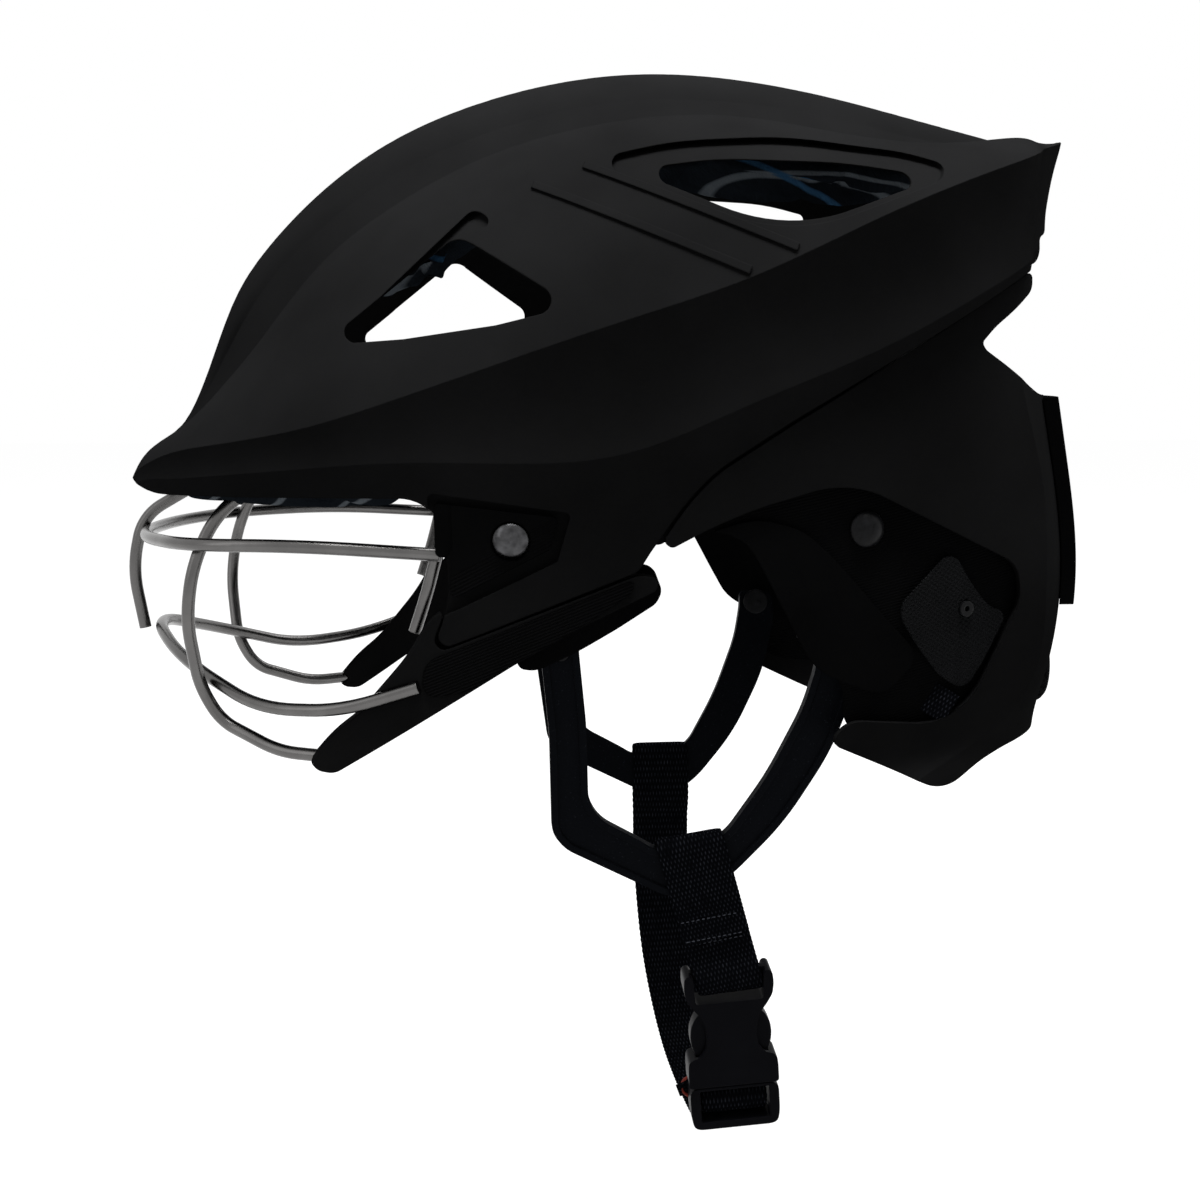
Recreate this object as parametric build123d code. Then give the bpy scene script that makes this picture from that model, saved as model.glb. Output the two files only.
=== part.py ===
from build123d import *
import math
import os

# Lacrosse helmet, front towards -X, wearer's left towards -Y, up is +Z.
# The origin is the middle of the head space, where a head carries the helmet.

# Driving sizes, in millimetres
length = 290.0
height = 205.0
half_width = 95.0

# Outline tables are drawn on this grid of parts of the three driving sizes
length_parts = 290
height_parts = 205
width_parts = 95

# Share of a corner's shorter run that its rounding takes
corner_share = 0.42
wire_share = 0.45
least_turn = 1.0

# Corner radii
sharp_corner = 1.5
vent_corner = 5.0

# How the crown's section corners face, in degrees up from the side
spine_lean = 70
valley_lean = 64
ridge_lean = 34
crease_lean = 8
thin_row_share = 4
turn_rows = 4

# Walls and clearances
wall = 3.0
seat_gap = 0.3
joint_gap = 0.5
running_gap = 0.4
overrun = 20.0
skin = 0.9

# Vents, recesses and ribs
vent_recess_depth = 1.8
rib_rise = 0.7
rib_width = 2.2

# Face guard
wire_diameter = 3.6
end_wire_diameter = 3.4
weld_gap = 0.1

# Rivets
rivet_head_radius = 5.0
rivet_head_rise = 2.4
rivet_stem_radius = 2.0
rivet_tail_radius = 3.6
rivet_tail_height = 1.2
stem_gap = 0.15
screw_radius = 1.5
screw_head_radius = 2.8
screw_head_height = 1.6
screw_slot_width = 0.8
screw_length = 8.0
tab_rivet_radius = 2.2
tab_rivet_bore = 0.8
tab_rivet_height = 0.8

# Jaw arms
plate_thickness = 2.2
guard_thickness = 7.5
rail_rise = 0.9

# Ear guards and tabs
ear_guard_thickness = 2.6
ear_rise = 1.2
tab_thickness = 1.6

# Rear bumper
bumper_thickness = 4.0
bumper_half_width = 42.0
bumper_rib_width = 2.4
bumper_rib_depth = 1.0

# Pads
pad_gap = 0.8
brow_pad_thickness = 9.0
crown_pad_thickness = 9.0
side_pad_thickness = 9.0
channel_width = 3.0
channel_depth = 2.2
nape_pad_thickness = 9.0
jaw_pad_thickness = 9.0
jaw_plate_thickness = 1.6
pad_round = 3.0

# Fit dial and its two racks
dial_height = -24.0
knob_radius = 12.0
knob_proud = 3.4
knob_grip_radius = 1.1
knob_grips = 18
dial_hole_gap = 0.9
spindle_radius = 2.4
gear_module = 1.0
gear_teeth = 9
gear_width = 3.6
tooth_tip_share = 0.70
tooth_root_share = 1.00
tooth_width_share = 0.39
pressure_angle = 20.0
rack_height = 3.4
rack_thickness = 3.0
rack_teeth = 9
band_thickness = 1.6
band_height = 9.0
band_front = 46.0
band_offset = 3.6
fit_travel = 6.0
housing_length = 44.0
housing_height = 24.0
housing_wall = 1.4
housing_depth = 11.4
housing_round = 4.0

# Chin harness, straps and buckle
harness_thickness = 3.4
harness_rim = 2.0
harness_channel = 0.8
harness_lean = 6.8
harness_top = -8.0
harness_side = 73.2
far_sway = 8.0
anchor_head_radius = 4.2
anchor_stem_radius = 2.2
anchor_head_height = 1.4
loop_length = 21.0
strap_width = 19.0
strap_thickness = 1.5
buckle_width = 26.0
buckle_slot_width = 20.0
buckle_waist = 19.0
buckle_thickness = 8.4
female_length = 35.0
male_length = 13.5
bar_diameter = 3.0
slot_height = 5.6
prong_reach = 17.0
prong_width = 3.0
prong_thickness = 3.6
prong_swell = 2.6
guide_width = 5.0
buckle_x = 6.0
buckle_z = -137.0
buckle_tilt = 4.5
inner_round_share = 0.8
neck_share = 0.9
window_share = 0.6
swell_share = 0.1

# Side outlines: each point is a share of the length and a share of the height
crown_outline_shares = (
    (-172, 33.5), (-128, 34), (-76, 34.5), (-74.5, 6.5), (-79.5, -7), (-24.5, 15),
    (-22, 19.3), (-12, 33.5), (-4.5, 41.5), (16.6, 55), (45, 71.8), (85, 94.2),
    (104.8, 100.6), (104.4, 107.6), (107, 109), (107, 115), (109, 126), (112.7, 137),
    (112.7, 172), (-172, 172),
)
front_vent_shares = ((-108, 74.5), (-71.5, 104), (-42, 84.4), (-62, 79.5), (-86, 76))
front_recess_shares = ((-104, 76), (-67, 111.5), (-62, 108), (-70, 100), (-90, 80))
rear_vent_shares = ((-24.5, 121.7), (-1, 124.8), (32.8, 123.4), (56, 118.7), (14, 103.2))
rear_recess_shares = (
    (-37, 124.4), (-12.6, 130), (18.9, 131.6), (49, 126.6), (58.4, 122.6), (56, 117.5),
    (14, 101.5),
)
band_ridge_shares = (((-51, 118), (3.5, 93.5)), ((-37, 123.5), (16, 99.5)))
rear_outline_shares = (
    (-21.3, 18.3), (-11.4, 32.9), (-4, 40.8), (17, 54.2), (45.4, 71), (85.4, 93.4),
    (90, 95.7), (90, 90.3), (83.8, 85), (75.9, 79.7), (71.4, 75.4), (72.6, 73.4), (81, 68.4),
    (88.3, 63.6), (94.7, 60.9),
    (125, 59.5), (125, -39.5), (94, -39), (84, -39.7), (75, -42), (62, -48.5), (28, -33),
    (34, -27), (67.3, -30.4),
    (85.3, 4.6), (83.3, 14.3), (32, 38.9), (6.3, 31.5), (-6, 26.3),
)
lap_outline_shares = (
    (-18.5, 21.5), (-5, 37), (17, 50), (45.4, 67), (85.4, 89.5), (88, 91), (88, 100), (82, 100),
    (44, 78.5), (14, 61), (-8, 47), (-17, 35), (-23.5, 23),
)
ear_guard_shares = (
    (-5.9, 25.6), (-1.4, 25.4), (4.4, 22.8), (8.4, 17.4), (18.2, -1.3), (23.8, -11.8),
    (32.6, -16.6), (33, -28.5), (40, -33), (66, -34), (75, -27), (88, 5), (86, 17),
    (32, 42.5), (2, 33.5),
)
ear_swell_shares = (
    (-5.5, 25.2), (-1.4, 25), (4.4, 22.4), (8, 17), (17.8, -1.6), (23.6, -12.2),
    (33.3, -16.9), (43.8, -20.8), (54.5, -10), (45.4, -1), (29.1, 17), (19.9, 25.6), (6.8, 29),
)
tab_outline_shares = (
    (62.9, 19.4), (68.6, 10), (74.6, 2.9), (81, 0.4), (73.9, -13.1), (68.6, -20.8),
    (60.7, -16.6), (52.2, -6.1), (46.4, 3.3),
)
tab_strap_shares = ((60, -18), (66.2, -22.6), (62.8, -26.8), (55, -26.2))
plate_outline_shares = (
    (-78.6, 33.4), (-45.6, 29.5), (-48, 20.9), (-74.4, 7.2), (-74, 18.6), (-78.2, 18.8),
)
plate_flange_shares = ((-84, 38), (-74, 38), (-73.6, 18), (-84, 17))
plate_recess_shares = ((-80, 36), (-42.4, 30.6), (-46, 17.6), (-80, 1))
tip_outline_shares = (
    (-75.6, 5), (-80.4, -7.9), (-24.3, 14.1), (-19.5, 13.2), (-19.5, 10), (-40, 0),
    (-57.2, -9.8), (-106, -40.6), (-110.6, -40), (-112.8, -37.4), (-106.5, -30),
    (-98.5, -23.6), (-86, -8.5), (-80.5, 1),
)
rail_outline_shares = (
    (-81.5, -9.6), (-25.6, 12.8), (-26.6, 9.2), (-41.3, -0.6), (-62, -12), (-70, -17.2),
    (-82, -19),
)
back_plate_shares = ((-77, 4), (-30, 17.5), (-27, 9), (-82, -11))
jaw_plate_shares = (
    (-56.5, -6), (-56.5, -12.2), (-51.4, -12.8), (-40.3, -7.6), (-29.8, -1.4), (-19, 5.6),
    (-17.5, 9), (-20.5, 17), (-30, 14),
)
jaw_pad_shares = ((-36.5, -4), (-29.8, -0.6), (-19.4, 6), (-18, 9), (-21, 16.6), (-31, 17))
bumper_side_shares = ((92, 60), (140, 60), (140, -0.5), (92, -0.5))
brow_pad_shares = ((-152, 31.5), (-142, 31), (-107, 29.7), (-84, 31.5), (-84, 47), (-152, 47))
side_pad_shares = (
    (-72, 46), (-38, 45), (-12, 57), (14, 70), (40, 85), (40, 96), (-8, 88), (-40, 77), (-72, 64),
)
crown_pad_plan_shares = (
    (-118, 0), (-114, 22), (-98, 42), (-76, 52), (-52, 46), (-36, 38), (-16, 46), (30, 50),
    (58, 40), (74, 22), (78, 0),
)
crown_pad_low_share = 40
channel_share = 17
nape_pad_shares = ((0, -10), (17, -11), (24, -17), (24, -31), (17, -37), (0, -38))

# Crown sections, from brim to spoiler: place along the length, top, spine edge, valley,
# shoulder ridge, lower crease and lower wall, as shares of length, half width and height
crown_section_shares = (
    (-168, 34.5, (2.4, 34.45), (3.6, 34.3), (9, 34.1), (9.2, 33.2), (8.5, 30)),
    (-163, 40.5, (6, 40.0), (9, 39.4), (36, 39.0), (36.5, 35.5), (34, 30)),
    (-153, 53.0, (8, 51.0), (13, 47.5), (51.5, 44.4), (52.0, 38.0), (49, 30)),
    (-147, 65.0, (10, 59.0), (15, 53.0), (58, 46.2), (58.5, 38.5), (55.5, 30)),
    (-138, 88.0, (12.5, 75.0), (17.5, 64.5), (65.5, 47.8), (66.0, 39.5), (62.5, 30)),
    (-128, 103.5, (15.5, 91.0), (21.5, 77.0), (72, 49.5), (72.5, 40.5), (68.5, 29)),
    (-112, 120.0, (19, 107.5), (25.5, 96.5), (79, 52.8), (79.0, 42.0), (73.5, 28)),
    (-92, 134.5, (22.5, 122.0), (29.5, 112.5), (85.5, 59.0), (85.0, 43.6), (79.5, 15)),
    (-65, 146.5, (25.5, 134.5), (33.5, 127.0), (90.5, 68.3), (89.5, 43.8), (84, 8)),
    (-30, 154.5, (28.5, 143.5), (36.5, 137.0), (94, 80.2), (92.5, 46.0), (87, 14)),
    (5, 155.0, (29, 144.5), (37, 139.5), (95, 92.2), (93.5, 59.5), (88, 44)),
    (38, 150.0, (27, 140.5), (34.5, 135.0), (91.5, 107.3), (90.5, 73.0), (86, 62)),
    (68, 143.0, (19.5, 135.0), (27, 130.5), (80, 119.5), (79.5, 88.0), (75.5, 79)),
    (88, 138.0, (12, 134.8), (18, 132.4), (60, 126.8), (57.5, 98.0), (54, 90)),
    (101, 135.5, (7, 134.8), (10.5, 134.0), (27, 132.3), (18, 103.0), (15, 95)),
    (109, 136.0, (3.6, 135.8), (5.4, 135.6), (11, 135.0), (6.5, 106.0), (5.5, 98)),
    (112.7, 137.2, (1.8, 137.0), (2.7, 136.8), (5, 136.4), (3.4, 108.0), (2.8, 98)),
)
crown_bulge_share = 0.10
flank_hollow_share = 0.07
arm_hollow_share = 0.04
crown_floor_share = -62
front_rows_without_inset = 1
rear_rows_without_inset = 2

# Rear shell sections, from top to bottom: height, half widths at the ear and the side, the
# quarter's half width and place, and rear reach, as shares of height, half width and length
rear_section_shares = (
    (110, 85.5, 81.8, 55.5, 84, 98), (78, 88, 84.6, 58.5, 86.5, 101.5),
    (50, 89, 85.6, 59.5, 89.5, 107.2), (22, 88.5, 85.2, 60, 94, 111.3),
    (-5, 87, 83.8, 60, 94, 111.3), (-28, 84.2, 81.3, 59.5, 86, 107.5),
    (-42, 82, 79.3, 74, 60, 105.5), (-56, 80, 77.5, 76.5, 48, 103),
)
rear_front_share = -60
rear_ear_share = 5
rear_side_share = 36

# Face guard wires: points as shares of length, half width and height
brow_bar_shares = (
    (-77, -78.5, 19), (-114, -75, 21.3), (-146.5, -61.5, 20.6), (-161.5, -30, 20), (-165.6, 0, 19.6),
)
mid_bar_shares = (
    (-83, -82.6, -16), (-104, -77.5, -23), (-127, -63.5, -24.5), (-151.5, -36, -14.5),
    (-164.5, 0, -6.5),
)
side_bar_shares = (
    (-126, -50, 38), (-139, -53, 28), (-145, -57.4, 14), (-147, -56.5, -1), (-144.6, -50.2, -20),
    (-139, -50.4, -30), (-122, -61, -37), (-110, -68, -37),
)
centre_bar_shares = ((-144, 0, 37), (-154, 0, 31.5), (-166.8, 0, 24), (-170.2, 0, 8), (-166.9, 0, -10))
end_wire_shares = ((-77.5, -74.2, 20), (-80.6, -73.2, 8), (-84, -71.7, -2.5))

# Rivet places, as shares of length and height
front_rivet_shares = (-58.4, 23.2)
rear_rivet_shares = (38.2, 25.4)
tab_rivet_shares = (67.4, 2.6)
clip_screw_shares = ((-152, 8.5), (-152, -8.5))
brow_clip_shares = (-157.5, -146, 13)
brow_clip_low_share = 34.2

# Harness outline as shares of length and height, on its own leaning plane
harness_shares = (
    (-49.7, -5), (-49.7, -11.5), (-47.6, -31), (-46.8, -59.9), (-43, -64.8), (-14.4, -79.4),
    (-6, -80), (3.5, -73.8), (18.1, -58.3), (30.8, -37.2), (37, -18.7), (37.6, -9), (26, -9),
    (25.6, -14), (22.5, -25.2), (13.1, -44.6), (1.5, -62), (-8, -66.2), (-18.1, -65.3),
    (-22.1, -62.7), (-36.6, -54.5), (-37.4, -29.1), (-39.6, -8), (-39.6, -5),
)
harness_anchor_shares = ((-44.6, -8.2), (31.8, -12.4))
loop_top_shares = (-8.8, -61)
far_loop_shift = 7.0
far_strap_route_shares = ((66, -84), (62, -104), (44, -130), (8, -148), (-36, -153))


# Small helpers

def along(share):
    return share * length / length_parts


def across(share):
    return share * half_width / width_parts


def up(share):
    return share * height / height_parts


def place(shares):
    return (along(shares[0]), across(shares[1]), up(shares[2]))


def corner_room(before, here, after, share):
    # The bend that a corner's two runs leave room for
    first = Vector(*here) - Vector(*before)
    second = Vector(*after) - Vector(*here)
    turn = math.radians(max(first.get_angle(second), least_turn))
    return share * min(first.length, second.length) / math.tan(turn / 2)


def corner_arc(before, here, after, largest):
    # Where a corner's bend starts, its middle and where it ends
    corner = Vector(*here)
    first = (corner - Vector(*before)).normalized()
    second = (Vector(*after) - corner).normalized()
    half_turn = math.radians(first.get_angle(second)) / 2
    if 2 * half_turn < math.radians(least_turn):
        return [corner]
    radius = min(corner_room(before, here, after, corner_share), largest)
    reach = radius * math.tan(half_turn)
    inward = (second - first).normalized() * (radius / math.cos(half_turn) - radius)
    return [corner - first * reach, corner + inward, corner + second * reach]


def rounded_face(points, largest):
    # A closed outline with each corner rounded as far as its runs allow
    arcs = []
    for number, here in enumerate(points):
        after = points[(number + 1) % len(points)]
        arcs.append(corner_arc(points[number - 1], here, after, largest))
    edges = []
    for number, arc in enumerate(arcs):
        if len(arc) > 1:
            edges.append(ThreePointArc(*arc))
        edges.append(Line(arc[-1], arcs[(number + 1) % len(arcs)][0]))
    return make_face(edges)


def side_face(shares, largest):
    return Plane.XZ * rounded_face([(along(x), up(z)) for x, z in shares], largest)


def side_prism(shares, near=None, far=None, largest=half_width):
    # A solid with this side outline; the full width unless near and far Y are given
    reach = half_width + overrun
    low = -reach if near is None else near
    high = reach if far is None else far
    prism = extrude(side_face(shares, largest), amount=high - low)
    return Pos(0, high, 0) * prism


def left_half():
    return Pos(0, -length / 2, 0) * Box(2 * length, length, 3 * length)


def mirrored(shape):
    return mirror(shape, about=Plane.XZ)


def only_solids(shape):
    solids = shape.solids()
    return solids[0] if len(solids) == 1 else Compound(children=solids)


def write(name, shape):
    export_step(only_solids(shape), f"parts/{name}.step")


def write_pair(name, left):
    write(f"{name}_left", left)
    write(f"{name}_right", mirrored(left))


# The two lofted bodies that every shell, plate and pad is cut from

def moved_in(y, z, inset, lean):
    # A section point moved inwards by inset, at lean degrees from straight in
    return (y - inset * math.cos(math.radians(lean)), z - inset * math.sin(math.radians(lean)))


def bowed(start, end, share):
    # An arc that stands out from its chord by share of it, or hollows in where share is negative
    run = (end[0] - start[0], end[1] - start[1])
    middle = (
        (start[0] + end[0]) / 2 - run[1] * share, (start[1] + end[1]) / 2 + run[0] * share,
    )
    return ThreePointArc(start, middle, end)


def crown_section(row, inset, shift):
    x, top, spine, valley, ridge, crease, arm = row
    x_mm = along(x) + inset * shift
    top_z = up(top) - inset
    s = moved_in(across(spine[0]), up(spine[1]), inset, spine_lean)
    v = moved_in(across(valley[0]), up(valley[1]), inset, valley_lean)
    r = moved_in(across(ridge[0]), up(ridge[1]), inset, ridge_lean)
    c = moved_in(across(crease[0]), up(crease[1]), inset, crease_lean)
    a = moved_in(across(arm[0]), up(arm[1]), inset, 0)
    floor = (a[0], up(crown_floor_share) - inset)
    right = [
        Line(s, v), bowed(v, r, crown_bulge_share), bowed(r, c, -flank_hollow_share),
        bowed(c, a, -arm_hollow_share), Line(a, floor),
    ]
    left = [edge.mirror(Plane.YZ) for edge in right]
    spine_arc = ThreePointArc((-s[0], s[1]), (0, top_z), s)
    base = Line(floor, (-floor[0], floor[1]))
    wire = Wire([spine_arc] + right + [base] + left)
    section = Plane(origin=(x_mm, 0, 0), x_dir=(0, 1, 0), z_dir=(1, 0, 0))
    return section * Face(wire)


def crown_body(inset):
    # The solid inside the crown's outer surface, moved in by inset
    rows = list(crown_section_shares)
    if inset > 0:
        rows = rows[front_rows_without_inset : len(rows) - rear_rows_without_inset]
    rows = [row for row in rows if across(row[4][0]) > thin_row_share * inset]
    middle = len(rows) / 2
    sections = []
    for number, row in enumerate(rows):
        shift = max(-1.0, min(1.0, (middle - number) / turn_rows))
        sections.append(crown_section(row, inset, shift))
    return loft(sections)


def rear_section(row, inset):
    z, ear, side, quarter, quarter_back, reach = row
    slant = inset * math.sqrt(1 / 2)
    far = along(reach) - inset
    quarter_x = along(quarter_back) - slant
    front = along(rear_front_share)
    y_ear = across(ear) - inset
    y_side = across(side) - inset
    y_quarter = across(quarter) - slant
    ear_x, side_x = along(rear_ear_share), along(rear_side_share)
    right = ThreePointArc((ear_x, y_ear), (side_x, y_side), (quarter_x, y_quarter))
    back = ThreePointArc((quarter_x, y_quarter), (far, 0), (quarter_x, -y_quarter))
    left = ThreePointArc((quarter_x, -y_quarter), (side_x, -y_side), (ear_x, -y_ear))
    front_end = Polyline((ear_x, -y_ear), (front, -y_ear), (front, y_ear), (ear_x, y_ear))
    return Pos(0, 0, up(z)) * make_face([right, back, left, front_end])


def rear_body(inset):
    # The solid inside the rear shell's outer surface, moved in by inset
    return loft([rear_section(row, inset) for row in rear_section_shares])


bodies = {}


def crown(inset):
    if ("crown", inset) not in bodies:
        bodies["crown", inset] = crown_body(inset)
    return bodies["crown", inset]


def rear(inset):
    if ("rear", inset) not in bodies:
        bodies["rear", inset] = rear_body(inset)
    return bodies["rear", inset]


def crown_layer(outer, inner, cutter):
    return (crown(outer) & cutter) - crown(inner)


def rear_layer(outer, inner, cutter):
    return (rear(outer) & cutter) - rear(inner)


def surface_point(body, shares):
    # Where a line along -Y leaves the near side of a body, and the way out there
    axis = Axis((along(shares[0]), 0, up(shares[1])), (0, -1, 0))
    hits = body.find_intersection_points(axis)
    point, normal = max(hits, key=lambda hit: -hit[0].Y)
    if normal.Y > 0:
        normal = normal * -1
    return point, normal


# Shells

def bridge_ridges():
    # Two low ribs that cross the band between the vents
    bars = []
    for start, end in band_ridge_shares:
        a = Vector(along(start[0]), 0, up(start[1]))
        b = Vector(along(end[0]), 0, up(end[1]))
        bar = Plane(origin=(a + b) / 2, x_dir=b - a, z_dir=(0, -1, 0)) * Box(
            (b - a).length, rib_width, 2 * half_width + overrun
        )
        bars.append(bar)
    return bars


def rivet_axis(body, shares):
    point, normal = surface_point(body, shares)
    return Plane(origin=point, z_dir=normal)


def stem_hole(frame):
    return frame * Cylinder(rivet_stem_radius + stem_gap, overrun)


def head_seat(frame, sunk):
    seat = Cylinder(rivet_head_radius + seat_gap, overrun, align=(Align.CENTER, Align.CENTER, Align.MIN))
    return frame * Pos(0, 0, -sunk) * seat


def build_crown_shell():
    shell = crown_layer(0, wall, side_prism(crown_outline_shares))
    shell -= side_prism(front_vent_shares, largest=vent_corner)
    shell -= side_prism(rear_vent_shares)
    rim = crown(0) - crown(vent_recess_depth)
    shell -= rim & side_prism(rear_recess_shares)
    shell -= rim & side_prism(front_recess_shares)
    rib_layer = crown(-rib_rise) - crown(skin)
    for bar in bridge_ridges():
        shell += rib_layer & bar
    plate_bed = crown(0) - crown(plate_thickness + seat_gap)
    shell -= plate_bed & side_prism(plate_recess_shares, largest=sharp_corner)
    hole = stem_hole(rivet_axis(crown(0), front_rivet_shares))
    return shell - hole - mirrored(hole)


def build_rear_shell():
    shell = rear_layer(0, wall, side_prism(rear_outline_shares))
    lap = rear_layer(wall - skin / 2, wall + ear_guard_thickness, side_prism(lap_outline_shares))
    crown_rim = crown(-skin) - crown(wall + seat_gap)
    shell += lap - (crown_rim & side_prism(crown_outline_shares))
    dial_hole = Pos(0, 0, dial_height) * Rot(0, 90, 0) * Cylinder(
        knob_radius + dial_hole_gap, 2 * length
    )
    shell -= dial_hole & Pos(length, 0, 0) * Box(2 * length, length, 2 * length)
    hole = stem_hole(rivet_axis(rear(0), rear_rivet_shares))
    return shell - hole - mirrored(hole)


def build_bumper():
    slab = side_prism(bumper_side_shares, -bumper_half_width, bumper_half_width, sharp_corner)
    bumper = rear_layer(-bumper_thickness - seat_gap, -seat_gap, slab)
    groove_skin = rear(-bumper_thickness - seat_gap) - rear(-bumper_thickness + bumper_rib_depth)
    for side in (-1, 1):
        y = side * (bumper_half_width - 3 * bumper_rib_width)
        groove = Pos(length / 2, y, 0) * Box(length, bumper_rib_width, 2 * height)
        bumper -= groove_skin & groove
    return bumper


def build_ear_guard():
    outer = wall + seat_gap
    inner = outer + ear_guard_thickness
    guard = rear_layer(outer, inner, side_prism(ear_guard_shares)) & left_half()
    raised = rear_layer(outer - ear_rise, outer + skin, side_prism(ear_swell_shares)) & left_half()
    guard = guard + raised
    return guard - stem_hole(rivet_axis(rear(0), rear_rivet_shares))


def build_tab():
    low = wall + seat_gap
    top = low - tab_thickness - seat_gap
    tab = rear_layer(top, low - seat_gap, side_prism(tab_outline_shares)) & left_half()
    frame = rivet_axis(rear(top), tab_rivet_shares)
    return tab - frame * Cylinder(tab_rivet_radius + stem_gap, 2 * tab_thickness)


def build_tab_strap():
    strap = rear_layer(wall - strap_thickness, wall, side_prism(tab_strap_shares))
    return strap & left_half()


def build_tab_rivets():
    top = wall + seat_gap - tab_thickness - seat_gap
    frame = rivet_axis(rear(top), tab_rivet_shares)
    depth = tab_thickness
    rivet = Pos(0, 0, -depth) * Cylinder(
        tab_rivet_radius, depth + tab_rivet_height, align=(Align.CENTER, Align.CENTER, Align.MIN)
    )
    rivet -= Cylinder(tab_rivet_bore, 4 * tab_rivet_height)
    left = frame * rivet
    return Compound(children=[left, mirrored(left)])


# Jaw arms

def build_mask_plate():
    outline = side_prism(plate_outline_shares, largest=sharp_corner)
    plate = crown_layer(0, plate_thickness, outline) & left_half()
    plate -= crown_layer(-skin, skin, side_prism(plate_flange_shares))
    frame = rivet_axis(crown(0), front_rivet_shares)
    return plate - stem_hole(frame) - head_seat(frame, skin / 2)


def build_jaw_guard():
    guard = crown_layer(0, guard_thickness, side_prism(tip_outline_shares)) & left_half()
    back = crown_layer(wall + seat_gap, guard_thickness, side_prism(back_plate_shares))
    guard += back & left_half()
    guard -= crown_layer(-skin, rail_rise, side_prism(rail_outline_shares))
    for route in (mid_bar_shares, side_bar_shares):
        guard -= round_wire(route, wire_diameter + 2 * seat_gap)
    return guard


def build_jaw_rail():
    rail = crown_layer(-rail_rise, rail_rise - seat_gap, side_prism(rail_outline_shares))
    return rail & left_half()


def rivet(frame, sunk, grip):
    # Domed head, stem through the layers and a flat tail behind them
    rise = rivet_head_rise
    sphere_radius = (rivet_head_radius ** 2 + rise ** 2) / (2 * rise)
    ball = Pos(0, 0, rise - sphere_radius) * Sphere(sphere_radius)
    head = ball & Pos(0, 0, rise / 2) * Cylinder(rivet_head_radius, rise)
    stem = Pos(0, 0, -grip) * Cylinder(
        rivet_stem_radius, grip + rise / 2, align=(Align.CENTER, Align.CENTER, Align.MIN)
    )
    tail = Pos(0, 0, -grip) * Cylinder(
        rivet_tail_radius, rivet_tail_height, align=(Align.CENTER, Align.CENTER, Align.MAX)
    )
    return frame * Pos(0, 0, seat_gap - sunk) * (head + stem + tail)


def build_rivets(body, shares, sunk, grip):
    left = rivet(rivet_axis(body, shares), sunk, grip)
    return Compound(children=[left, mirrored(left)])


# Face guard

def wire_through(points, diameter, bends):
    path = FilletPolyline(*points, radius=bends)
    return sweep(Plane(path @ 0, z_dir=path % 0) * Circle(diameter / 2), path=path)


def bends_for(points):
    # The largest bend that each corner's two runs allow
    corners = zip(points, points[1:], points[2:])
    radii = [corner_room(*corner, wire_share) for corner in corners]
    return [min(radius, 2 * half_width) for radius in radii]


def round_wire(shares, diameter=wire_diameter):
    points = [place(point) for point in shares]
    return wire_through(points, diameter, bends_for(points))


def whole_wire(half_shares):
    other = [(x, -y, z) for x, y, z in reversed(half_shares[:-1])]
    return round_wire(tuple(half_shares) + tuple(other))


def welded(wire, others):
    # Crossing wires are pressed a little into each other where they are welded
    for route in others:
        wire -= round_wire(route, wire_diameter + weld_gap)
    return wire


def other_side(shares):
    return tuple((x, -y, z) for x, y, z in shares)


# Brow clip

def brow_clip_box(gap):
    back, front, half = brow_clip_shares
    low = up(brow_clip_low_share) - gap
    size_x = along(front) - along(back) + 2 * gap
    middle = (along(back) + along(front)) / 2
    box = Box(size_x, 2 * (across(half) + gap), height, align=(Align.CENTER, Align.CENTER, Align.MIN))
    return Pos(middle, 0, low) * box


def build_brow_clip():
    clip = crown(wall + seat_gap) & brow_clip_box(0)
    channel = round_wire(centre_bar_shares, wire_diameter + 2 * seat_gap)
    for x, y in clip_screw_shares:
        bore = Cylinder(screw_radius + stem_gap, height)
        clip -= Pos(along(x), across(y), up(brow_clip_low_share)) * bore
    return clip - channel


def build_clip_screws():
    screws = []
    for x, y in clip_screw_shares:
        head = Cylinder(
            screw_head_radius, screw_head_height, align=(Align.CENTER, Align.CENTER, Align.MAX)
        )
        drive = Pos(0, 0, -screw_head_height) * Box(
            screw_head_radius * 2, screw_slot_width, screw_head_height
        )
        stem = Cylinder(screw_radius, screw_length, align=(Align.CENTER, Align.CENTER, Align.MIN))
        screw = (head - drive) + stem
        screws.append(Pos(along(x), across(y), up(brow_clip_low_share) - stem_gap) * screw)
    return Compound(children=screws)


# Pads

def build_brow_pad():
    outer = wall + pad_gap
    pad = crown_layer(outer, outer + brow_pad_thickness, side_prism(brow_pad_shares))
    pad -= Pos(0, 0, -2 * screw_head_height) * brow_clip_box(pad_gap)
    for route in (centre_bar_shares, side_bar_shares, other_side(side_bar_shares)):
        pad -= round_wire(route, wire_diameter + 2 * pad_gap)
    return pad


def build_crown_pad():
    outer = wall + pad_gap
    right = [(along(x), across(y)) for x, y in crown_pad_plan_shares]
    left = [(x, -y) for x, y in reversed(right[1:-1])]
    plan = make_face(Polyline(*right, *left, close=True))
    prism = Pos(0, 0, up(crown_pad_low_share)) * extrude(plan, amount=height)
    pad = crown_layer(outer, outer + crown_pad_thickness, prism)
    under = crown(outer + crown_pad_thickness - channel_depth)
    for side in (-1, 1):
        groove = Pos(0, side * across(channel_share), height / 2) * Box(2 * length, channel_width, 2 * height)
        pad -= under & groove
    return pad


def build_side_pad():
    outer = wall + pad_gap
    return crown_layer(outer, outer + side_pad_thickness, side_prism(side_pad_shares)) & left_half()


def build_jaw_plate():
    outer = guard_thickness + seat_gap
    return crown_layer(outer, outer + jaw_plate_thickness, side_prism(jaw_plate_shares)) & left_half()


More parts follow.
